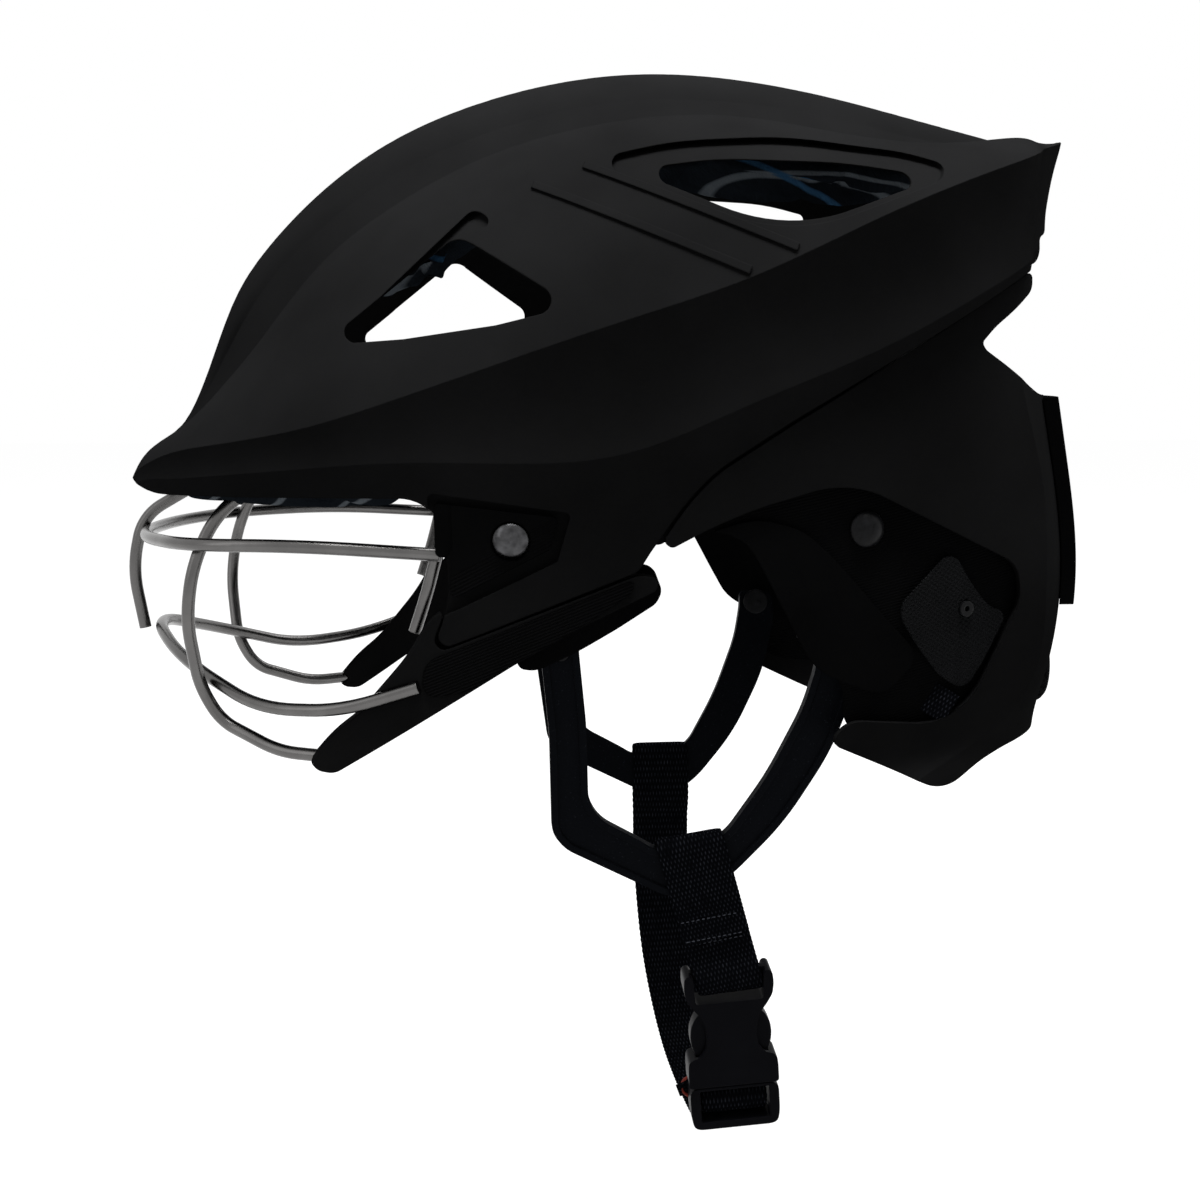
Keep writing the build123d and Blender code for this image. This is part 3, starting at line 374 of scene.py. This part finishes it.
def liner_material():
    # Dark knit with two families of thin curved lines, grey and blue
    m = Shader("liner_knit", (0.010, 0.012, 0.016), 0.85, specular_ior_level=0.0)
    one = m.ramp(m.rings(0.013, (0.02, 0, -0.02)), ((0.95, (0, 0, 0)), (0.99, (1, 1, 1))))
    two = m.ramp(m.rings(0.019, (-0.06, 0.02, -0.05)), ((0.97, (0, 0, 0)), (0.995, (1, 1, 1))))
    tones = ((0.35, (0.016, 0.020, 0.026)), (0.65, (0.030, 0.038, 0.048)))
    base = m.ramp(m.noise(35.0, 3.0), tones)
    grey = m.add("ShaderNodeMixRGB")
    grey.inputs[2].default_value = (0.28, 0.32, 0.36, 1)
    m.link(one, grey.inputs[0])
    m.link(base, grey.inputs[1])
    blue = m.add("ShaderNodeMixRGB")
    blue.inputs[2].default_value = (0.08, 0.22, 0.42, 1)
    m.link(two, blue.inputs[0])
    m.link(grey.outputs[0], blue.inputs[1])
    m.link(blue.outputs[0], m.shader.inputs["Base Color"])
    fine = wave_scale(0.0007)
    knit = m.math("MULTIPLY", m.wave(fine, (0, 45, 0)), m.wave(fine, (0, -45, 45)))
    m.bump(knit, 0.5, 0.0004)
    return m.material


def jaw_cover_material():
    m = Shader("jaw_cover", (0.010, 0.0102, 0.0115), 0.4, specular_ior_level=0.03)
    m.vary(50.0, 0.25, 0.08)
    m.bump(m.cells(700.0), 0.25, 0.0003)
    return m.material


def harness_material():
    m = Shader("harness_rubber", (0.006, 0.0066, 0.0085), 0.45, specular_ior_level=0.02)
    m.pattern(m.noise(1500.0, 1.0), (
        (0.0, (0.005, 0.0058, 0.0075)), (0.68, (0.0065, 0.0075, 0.010)),
        (0.78, (0.022, 0.025, 0.032)),
    ))
    m.bump(m.noise(900.0, 3.0), 0.25, 0.0003)
    return m.material


def webbing_material(name, rib, dot):
    # Ribs across the strap, each a row of yarn crowns that alternate from row to row; the crowns
    # carry a painted highlight and the hollows between them painted shade
    m = Shader(name, (0.0085, 0.009, 0.0115), 0.7, specular_ior_level=0.0)
    m.place = m.add("ShaderNodeAttribute", attribute_name="weave").outputs["Vector"]
    slant = math.degrees(math.atan(2 * rib / dot))
    scale = wave_scale(1 / math.hypot(1 / dot, 1 / (2 * rib)))
    first, second = (m.wave(scale, (0, 0, turn), axis="Y") for turn in (slant, -slant))
    crowns = m.math("MULTIPLY", first, second)
    # Painted highlight on the raised yarn crowns, patchy by noise, with painted shade in the
    # hollows between them
    crown_highlight = m.math("MULTIPLY", crowns, m.noise(420.0, 3.0))
    m.pattern(crown_highlight, (
        (0.0, (0.0055, 0.006, 0.008)), (0.22, (0.010, 0.011, 0.014)), (0.6, (0.06, 0.065, 0.082)),
    ))
    m.bump(crowns, 0.8, 0.0004)
    return m.material


def buckle_material():
    m = Shader("buckle_black", (0.0072, 0.0073, 0.0095), 0.38, specular_ior_level=0.02)
    m.vary(80.0, 0.2, 0.06)
    m.bump(m.noise(1100.0), 0.08, 0.0002)
    return m.material


def fit_material():
    m = Shader("fit_plastic", (0.03, 0.031, 0.034), 0.4)
    m.vary(70.0, 0.2, 0.06)
    m.bump(m.noise(1300.0), 0.12, 0.0002)
    return m.material


def thread_material():
    m = Shader("thread", (0.10, 0.11, 0.14), 0.7)
    m.vary(300.0, 0.2, 0.05)
    m.bump(m.wave(wave_scale(0.0002), (0, 45, 0)), 0.5, 0.0001)
    return m.material


def red_material():
    m = Shader("red_ring", (0.42, 0.06, 0.04), 0.45, specular_ior_level=0.2)
    m.vary(400.0, 0.2, 0.06)
    m.bump(m.noise(900.0), 0.1, 0.0001)
    return m.material


mats = {
    "shell": shell_material(),
    "guard": guard_material(),
    "rail": ribbed_material("rail_ribs", 21.8, 0.0008),
    "plate": ribbed_material("plate_ribs", 27.4, 0.0009, 0.8, ((-0.0748, 0, 0.0131), 30.8)),
    "recess": ribbed_material("recess_ribs", 12.0, 0.0008, 0.5),
    "steel": steel_material(),
    "chrome": chrome_material(),
    "dark": dark_metal_material(),
    "knurl": knurl_material(),
    "bumper": bumper_material(),
    "liner": liner_material(),
    "jaw_cover": jaw_cover_material(),
    "harness": harness_material(),
    "webbing": webbing_material("webbing_fine", near_rib, yarn),
    "webbing_far": webbing_material("webbing_coarse", far_rib, yarn),
    "buckle": buckle_material(),
    "fit": fit_material(),
    "thread": thread_material(),
    "red": red_material(),
}

node_mats = {
    "crown_shell": "shell", "rear_shell": "shell", "rear_bumper": "bumper",
    "ear_guard": "guard", "tab": "knurl", "tab_strap": "webbing", "tab_rivets": "dark",
    "mask_plate": "plate", "jaw_guard": "shell", "jaw_rail": "rail",
    "front_rivets": "chrome", "rear_rivets": "dark", "brow_bar": "steel",
    "mid_bar": "steel", "centre_bar": "steel", "side_bar": "steel", "end_wire": "steel",
    "brow_clip": "guard", "clip_screws": "dark", "brow_pad": "liner", "crown_pad": "liner",
    "side_pad": "liner", "jaw_plate": "guard", "jaw_pad": "jaw_cover",
    "dial_housing": "fit", "dial_pinion": "fit", "dial_knob": "knurl", "fit_arm": "fit",
    "nape_pad": "liner", "harness_studs": "dark", "harness": "harness", "strap": "webbing",
    "buckle_female": "buckle", "buckle_male": "buckle", "prong": "buckle",
}


def base_name(node):
    for ending in ("_left", "_right"):
        if node.endswith(ending):
            return node[: -len(ending)]
    return node


def paint_nodes():
    for name, piece in nodes.items():
        material = mats[node_mats[base_name(name)]]
        piece.data.materials.clear()
        piece.data.materials.append(material)


# Surfaces to place details on

trees = {}


def surface(node):
    if node not in trees:
        mesh = nodes[node].data
        points = [v.co.copy() for v in mesh.vertices]
        faces = [tuple(p.vertices) for p in mesh.polygons]
        trees[node] = BVHTree.FromPolygons(points, faces)
    return trees[node]


def on_side(node, x, z, lift, side):
    # Where a line across the helmet first meets a node, seen from that side
    start = Vector((x, side * 0.4, z))
    hit = surface(node).ray_cast(start, Vector((0, -side, 0)))[0]
    return hit + Vector((0, side * lift, 0)) if hit else None


def mesh_piece(name, build, material, body="helmet"):
    mesh = bpy.data.meshes.new(name)
    work = bmesh.new()
    build(work)
    work.to_mesh(mesh)
    work.free()
    for polygon in mesh.polygons:
        polygon.use_smooth = True
    mesh.materials.append(mats[material])
    piece = bpy.data.objects.new(name, mesh)
    bpy.context.scene.collection.objects.link(piece)
    if body:
        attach(piece, body)
    return piece


# Stitches

def capsule(work, start, end, radius, sides=6):
    # A short thread with tapered ends
    run = end - start
    turn = run.to_track_quat("Z", "Y")
    rings = []
    for share, width in ((0, 0.25), (0.12, 0.85), (0.5, 1.1), (0.88, 0.85), (1, 0.25)):
        ring = []
        for number in range(sides):
            angle = 2 * math.pi * number / sides
            spot = Vector((math.cos(angle), math.sin(angle), 0)) * radius * width
            ring.append(work.verts.new(start + run * share + turn @ spot))
        rings.append(ring)
    for low, high in zip(rings, rings[1:]):
        for number in range(sides):
            after = (number + 1) % sides
            work.faces.new((low[number], low[after], high[after], high[number]))
    work.faces.new(list(reversed(rings[0])))
    work.faces.new(rings[-1])


def walk(points, step):
    # Evenly spaced points along a run of points
    spots = [points[0]]
    left = step
    for a, b in zip(points, points[1:]):
        run = (b - a).length
        at = left
        while at <= run:
            spots.append(a.lerp(b, at / run))
            at += step
        left = at - run
    return spots


def stitches(name, rows, length, gap, radius):
    def build(work):
        for row in rows:
            spots = walk(row, length + gap)
            for here, after in zip(spots, spots[1:]):
                capsule(work, here, here.lerp(after, length / (length + gap)), radius)
    return mesh_piece(name, build, "thread")


# Pads: the node's own form, filled by a cloth simulation and kept in its place

def pad_mesh(node, voxel, shrink):
    piece = bpy.data.objects.new("pad_" + node, nodes[node].data.copy())
    bpy.context.scene.collection.objects.link(piece)
    work = bmesh.new()
    work.from_mesh(piece.data)
    bmesh.ops.remove_doubles(work, verts=work.verts, dist=0.00002)
    bmesh.ops.recalc_face_normals(work, faces=work.faces)
    work.to_mesh(piece.data)
    work.free()
    remesh = piece.modifiers.new("remesh", "REMESH")
    remesh.mode = "VOXEL"
    remesh.voxel_size = voxel
    apply_modifiers(piece)
    for vertex in piece.data.vertices:
        vertex.co -= vertex.normal * shrink
    return piece


def apply_modifiers(piece):
    graph = bpy.context.evaluated_depsgraph_get()
    mesh = bpy.data.meshes.new_from_object(piece.evaluated_get(graph))
    piece.modifiers.clear()
    piece.data = mesh


def fill_with_cloth(piece, pressure, cap):
    before = [v.co.copy() for v in piece.data.vertices]
    cloth = piece.modifiers.new("cloth", "CLOTH")
    cloth.settings.use_pressure = True
    cloth.settings.uniform_pressure_force = pressure
    cloth.settings.effector_weights.gravity = 0
    scene = bpy.context.scene
    for number in range(1, cloth_frames + 1):
        scene.frame_set(number)
    apply_modifiers(piece)
    scene.frame_set(1)
    for vertex, old in zip(piece.data.vertices, before):
        move = vertex.co - old
        if move.length > cap:
            vertex.co = old + move.normalized() * cap


def keep_inside(piece, node, proud):
    tree = surface(node)
    for vertex in piece.data.vertices:
        near, normal, _, _ = tree.find_nearest(vertex.co)
        out = (vertex.co - near).dot(normal)
        if out > proud:
            vertex.co -= normal * (out - proud)


def sew_channels(piece, seams, width, depth):
    for vertex in piece.data.vertices:
        for point, normal in seams:
            off = abs((vertex.co - Vector(point)).dot(Vector(normal).normalized()))
            if off < width:
                share = 0.5 + 0.5 * math.cos(math.pi * off / width)
                vertex.co -= vertex.normal * depth * share


def make_pad(node, material, voxel=0.0035, pressure=4.0, cap=0.004, seams=()):
    piece = pad_mesh(node, voxel, 0.0008)
    fill_with_cloth(piece, pressure, cap)
    smooth = piece.modifiers.new("smooth", "SMOOTH")
    smooth.iterations = 3
    apply_modifiers(piece)
    keep_inside(piece, node, 0.0003)
    more = piece.modifiers.new("subdivide", "SUBSURF")
    more.levels = more.render_levels = 1
    apply_modifiers(piece)
    sew_channels(piece, seams, seam_width, seam_depth)
    keep_inside(piece, node, 0.0004)
    for polygon in piece.data.polygons:
        polygon.use_smooth = True
    piece.data.materials.clear()
    piece.data.materials.append(mats[material])
    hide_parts(node)
    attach(piece, "helmet")
    return piece


# The ear guard's raised part, and the ribs round it

def inside(outline, x, z):
    # Whether a point lies inside a closed side outline
    found = False
    for (x0, z0), (x1, z1) in zip(outline, outline[1:] + outline[:1]):
        if (z0 > z) != (z1 > z) and x < (x1 - x0) * (z - z0) / (z1 - z0) + x0:
            found = not found
    return found


ear_swell = [
    (-5.5, 25.2), (-1.4, 25), (4.4, 22.4), (8, 17), (17.8, -1.6), (23.6, -12.2),
    (33.3, -16.9), (43.8, -20.8), (54.5, -10), (45.4, -1), (29.1, 17), (19.9, 25.6), (6.8, 29),
]


def paint_recess(node):
    # The ear guard has fine ribs where it isn't raised
    piece = nodes[node]
    piece.data.materials.append(mats["recess"])
    for polygon in piece.data.polygons:
        x, _, z = polygon.center * 1000
        if not inside(ear_swell, x, z):
            polygon.material_index = 1


# Webbing: woven ribbons, ribbed across, along the routes that the CAD's straps take

def lean():
    # From the plane that the near strap and the buckle hang on to the row frame
    turn = Matrix.Rotation(math.radians(6.8), 4, "X")
    return Matrix.Translation((0, -0.0732, -0.008)) @ turn @ Matrix.Translation((0, 0, 0.008))


def buckle_place():
    hang = Matrix.Rotation(math.radians(-4.5), 4, "Y")
    return lean() @ Matrix.Translation((0.006, 0, -0.137)) @ hang


def spline(points, step):
    # Evenly spaced points along a smooth curve through the given ones
    fine = []
    ends = [2 * points[0] - points[1], *points, 2 * points[-1] - points[-2]]
    for a, b, c, d in zip(ends, ends[1:], ends[2:], ends[3:]):
        for number in range(12):
            t = number / 12
            bent = (2 * a - 5 * b + 4 * c - d) * t * t + (3 * b - a - 3 * c + d) * t ** 3
            fine.append(b + 0.5 * ((c - a) * t + bent))
    return walk(fine + [points[-1]], step)


def ribbon(name, points, ways, width, thick, rib, material, bodies=("helmet",)):
    # A strap of this width and thickness; ways are the directions across it at its two ends
    step = rib / 6
    spots = spline([Vector(p) for p in points], step)
    across = [math.sin(math.pi * (n / 12 - 0.5)) for n in range(13)]
    profile = [(u, 1) for u in across] + [(u, -1) for u in reversed(across[1:-1])]
    relief = 0.09 * rib

    def build(work):
        layer = work.verts.layers.float_vector.new("weave")
        rings = []
        for number, spot in enumerate(spots):
            ahead = spots[min(number + 1, len(spots) - 1)] - spots[max(number - 1, 0)]
            ahead.normalize()
            way = Vector(ways[0]).lerp(Vector(ways[1]), number / len(spots))
            way = (way - ahead * way.dot(ahead)).normalized()
            out = ahead.cross(way)
            wave = math.cos(2 * math.pi * number / 6)
            half = width / 2 + 0.4 * relief * wave
            ring = []
            depth = thick / 2 + relief * (wave - 1) / 2
            for u, face in profile:
                swell = math.sqrt(1 - abs(u) ** 8) * face
                vert = work.verts.new(spot + way * half * u + out * swell * depth)
                vert[layer] = (u * half, number * step, face * thick)
                ring.append(vert)
            rings.append(ring)
        for low, high in zip(rings, rings[1:]):
            for n in range(len(profile)):
                m = (n + 1) % len(profile)
                work.faces.new((low[n], low[m], high[m], high[n]))
        work.faces.new(list(reversed(rings[0])))
        work.faces.new(rings[-1])
        bmesh.ops.recalc_face_normals(work, faces=work.faces)

    return mesh_piece(name, build, material, bodies[0] if len(bodies) == 1 else None)


def placed(matrix, rows):
    return [matrix @ (Vector(row) / 1000) for row in rows]


# Both straps' loop as (across, height) in mm: from the sewn end up over the harness and down
# behind it
loop_run = (
    (-1.75, -92.4), (-1.8, -88), (-2.3, -83.5), (-2.85, -79), (-2.85, -66), (-2.0, -62.9),
    (0, -62.2), (2.0, -62.9), (2.85, -66), (2.85, -78), (1.7, -82.5),
)
# From there the near strap goes down to the buckle's bar, round it and up behind
near_run = (
    *loop_run, (0.2, -86), (-0.1, -90), (-0.2, -95), (-1.2, -99.5), (-2.65, -103.2),
    (-2.3, -107), (0, -109), (2.3, -107), (2.65, -103.2), (1.9, -99.5), (1.45, -95),
    (1.45, -89.5),
)
# The far strap crosses to the buckle's frame, and ends round the frame's bar
far_route = ((64, -88), (62, -104), (44, -130), (8, -148), (-36, -153))
far_end = (
    (4.8, -14.0), (4.2, -11.8), (1.6, -10.4), (-0.6, -8.6), (-1.8, -6), (-1.5, -4.1), (0.2, -3.1),
    (2.2, -3.9), (2.9, -6), (3.2, -9.4),
)


def strap_x(z, top=-8.8, low=3.4):
    # The strap slants from the harness to the buckle
    return top + (low - top) * (z + 61) / (-103.6 + 61)


def near_strap():
    rows = [(strap_x(z), y, z) for y, z in near_run]
    ways = ((0.983, 0, 0.18), (0.995, 0, 0.1))
    turned = [lean().to_3x3() @ Vector(way) for way in ways]
    strap = ribbon(
        "strap_near", placed(lean(), rows), turned, webbing_width, webbing_thickness, near_rib,
        "webbing",
    )
    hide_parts("strap_left")
    seams = []
    for z, y in ((-85.6, -2.85), (-91.6, -2.55), (-93.4, -1.0)):
        ends = placed(lean(), [(strap_x(z) + side * 8.6, y, z + side * 1.55) for side in (-1, 1)])
        seams.append(ends)
    stitches("strap_near_seams", seams, 0.0009, 0.0006, 0.00016)


def far_strap():
    mirror = Matrix.Scale(-1, 4, (0, 1, 0))
    points = placed(mirror @ lean(), [(strap_x(z, -1.8, -1.8), y, z) for y, z in loop_run])
    bar = buckle_place() @ Vector((0, 0, -0.012))
    start = points[-1]
    for y, z in far_route:
        share = (start.y * 1000 - y) / ((start.y - bar.y) * 1000)
        points.append(Vector((start.x + (bar.x - start.x) * share, y / 1000, z / 1000)))
    for y, z in far_end:
        points.append(buckle_place() @ (Vector((0, y, z)) / 1000))
    across = buckle_place().to_3x3() @ Vector((1, 0, 0))
    strap = ribbon(
        "strap_far", points, ((1, 0, 0), across), webbing_width, webbing_thickness, far_rib,
        "webbing_far", ("helmet", "buckle_male"),
    )
    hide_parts("strap_right")
    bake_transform(strap)


def tab_strap(side, name):
    node = "tab_strap_" + name
    rows = ((63.2, -20.2), (62.0, -22.1), (60.8, -24.0), (59.6, -25.9))
    points = [on_side(node, x / 1000, z / 1000, -0.0007, side) for x, z in rows]
    found = [p for p in points if p is not None]
    found = [2 * found[0] - found[1], *found, 2 * found[-1] - found[-2]]
    way = Vector((0.82, 0, -0.57))
    width, thick = 0.0082, 0.0012
    strap = ribbon("tab_webbing_" + name, found, (way, way), width, thick, near_rib, "webbing")
    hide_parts(node)


def adjuster_tag():
    # The red ring and the dark strap end that show beside the buckle's frame
    centre = buckle_place() @ Vector((-0.0118, 0.0046, -0.0036))
    turn = buckle_place().to_3x3()

    def ring(work):
        loops = []
        for number in range(28):
            angle = 2 * math.pi * number / 28
            out = Vector((math.cos(angle), 0.25 * math.sin(angle), math.sin(angle)))
            loop = []
            for part in range(8):
                bend = 2 * math.pi * part / 8
                spot = out * (ring_radius + ring_wire * math.cos(bend))
                spot = spot + Vector((0, ring_wire * math.sin(bend), 0))
                loop.append(work.verts.new(centre + turn @ spot))
            loops.append(loop)
        for low, high in zip(loops, loops[1:] + loops[:1]):
            for part in range(8):
                after = (part + 1) % 8
                work.faces.new((low[part], low[after], high[after], high[part]))
        bmesh.ops.recalc_face_normals(work, faces=work.faces)

    mesh_piece("adjuster_ring", ring, "red", "buckle_male")
    side = turn @ Vector((-1, 0, 0))
    up = turn @ Vector((0, 0, 1))
    rows = ((-1, 0.4), (1, 0), (2.6, -0.6), (4, -1))
    points = [centre + side * (x / 1000) + up * (z / 1000) for x, z in rows]
    width, thick = 0.004, 0.0011
    ribbon(
        "adjuster_end", points, (up, up), width, thick, near_rib, "webbing", ("buckle_male",),
    )


# Buckle: moulded pieces with rounded edges, in mm in the buckle's own frame

def round_off(points, radius):
    # A closed outline with its corners rounded
    rounded = []
    for before, here, after in zip(points[-1:] + points[:-1], points, points[1:] + points[:1]):
        before, here, after = Vector(before), Vector(here), Vector(after)
        start = here.lerp(before, min(radius / (before - here).length, 0.45))
        end = here.lerp(after, min(radius / (after - here).length, 0.45))
        for number in range(5):
            t = number / 4
            rounded.append((1 - t) ** 2 * start + 2 * t * (1 - t) * here + t * t * end)
    return rounded


def slab(name, outline, half, radius):
    def build(work):
        near, far = (
            [work.verts.new((x / 1000, y / 1000, z / 1000)) for x, z in round_off(outline, radius)]
            for y in (-half, half)
        )
        for n in range(len(near)):
            m = (n + 1) % len(near)
            work.faces.new((near[n], near[m], far[m], far[n]))
        work.faces.new(near)
        work.faces.new(list(reversed(far)))
        bmesh.ops.recalc_face_normals(work, faces=work.faces)

    return mesh_piece(name, build, "buckle", None)


def block(x, y, z):
    # A plain cutter between these limits in x and z, and y deep on both sides
    corners = [(x[0], z[0]), (x[1], z[0]), (x[1], z[1]), (x[0], z[1])]
    return slab("cutter", corners, y, 0.3)


def carve(piece, tool, operation="DIFFERENCE"):
    cut = piece.modifiers.new("cut", "BOOLEAN")
    cut.operation = operation
    cut.solver = "EXACT"
    cut.object = tool
    apply_modifiers(piece)
    bpy.data.objects.remove(tool)


def finish_moulding(piece, node, body, edge):
    soft = piece.modifiers.new("edges", "BEVEL")
    soft.width = edge
    soft.segments = 3
    soft.limit_method = "ANGLE"
    soft.angle_limit = math.radians(38)
    soft.harden_normals = True
    apply_modifiers(piece)
    for polygon in piece.data.polygons:
        polygon.use_smooth = True
    piece.data.transform(buckle_place())
    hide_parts(node)
    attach(piece, body)


def mirror_outline(right):
    return right + [(-x, z) for x, z in reversed(right)]


female_half = [
    (9.8, 26.0), (10.1, 34.2), (11.3, 35.0), (12.6, 34.3), (12.9, 31.0), (12.4, 27.6),
    (10.4, 24.4), (9.0, 22.7), (7.9, 20.5), (7.3, 17.6), (7.2, 14.6), (7.8, 11.6), (9.4, 9.6),
    (11.4, 8.9), (12.7, 8.2), (13.0, 5.8), (13.0, 0.0),
]
male_half = [(12.9, -0.4), (12.9, -9.8), (12.0, -13.5)]
prong_outline = [
    (-8.8, 22.2), (-10.4, 20.4), (-11.5, 17.8), (-11.8, 15.0), (-11.5, 12.2), (-10.7, 9.9),
    (-9.4, 8.6), (-8.6, 7.2), (-8.6, -0.9), (-6.0, -0.9), (-6.0, 8.0), (-6.6, 22.2),
]


def make_buckle():
    female = slab("buckle_body", mirror_outline(female_half), 4.2, 1.1)
    carve(female, block((-10.4, 10.4), 2.9, (-1.0, 23.6)))
    carve(female, block((-11.6, 11.6), 1.3, (32.3, 34.8)), "UNION")
    finish_moulding(female, "buckle_female", "helmet", 0.0007)
    male = slab("buckle_frame", mirror_outline(male_half), 3.8, 2.6)
    carve(male, block((-10.0, 10.0), 9.0, (-11.2, -1.4)))
    carve(male, block((-2.5, 2.5), 1.8, (-1.0, 16.0)), "UNION")
    finish_moulding(male, "buckle_male", "buckle_male", 0.0006)
    for side, name in ((1, "left"), (-1, "right")):
        outline = [(side * x, z) for x, z in prong_outline]
        prong = slab("buckle_prong_" + name, outline, 2.6, 1.0)
        finish_moulding(prong, "prong_" + name, "prong_" + name, 0.0006)


set_camera()
make_world()
# The floor lies below the buckle's male half also where that is drawn out
make_floor(cad_box[0][2] - buckle_travel - floor_gap)
area_light("key", (0.0, -0.15, 1.5), (0, 0, 0.05), (1.0, 0.8), 27)
area_light("front_strip", (-1.4, -0.6, 0.7), (-0.05, 0, 0.03), (0.5, 1.2), 2)
area_light("rear_top", (1.0, 0.6, 1.1), (0, 0, 0.05), (0.9, 0.7), 8)
paint_nodes()
paint_recess("ear_guard_left")
paint_recess("ear_guard_right")

brow_seams = [((0, y, 0), (0.2 * y / 0.05, 1, 0)) for y in (-0.05, -0.025, 0, 0.025, 0.05)]
make_pad("brow_pad", "liner", seams=brow_seams)
crown_seams = [((x, 0, 0), (1, 0, 0)) for x in (-0.08, -0.04, 0.0, 0.04)]
make_pad("crown_pad", "liner", voxel=0.004, seams=crown_seams)
side_seams = [((x, 0, 0), (1, 0, -0.4)) for x in (-0.045, -0.01, 0.025)]
nape_seams = [((0, y, 0), (0, 1, 0)) for y in (-0.008, 0.008)]
for side in ("left", "right"):
    make_pad("side_pad_" + side, "liner", seams=side_seams)
    make_pad("jaw_pad_" + side, "jaw_cover", voxel=0.0025)
make_pad("nape_pad", "liner", voxel=0.003, seams=nape_seams)

near_strap()
far_strap()
make_buckle()
adjuster_tag()
tab_strap(-1, "left")
tab_strap(1, "right")

scene = bpy.context.scene
scene.view_settings.view_transform = "Standard"
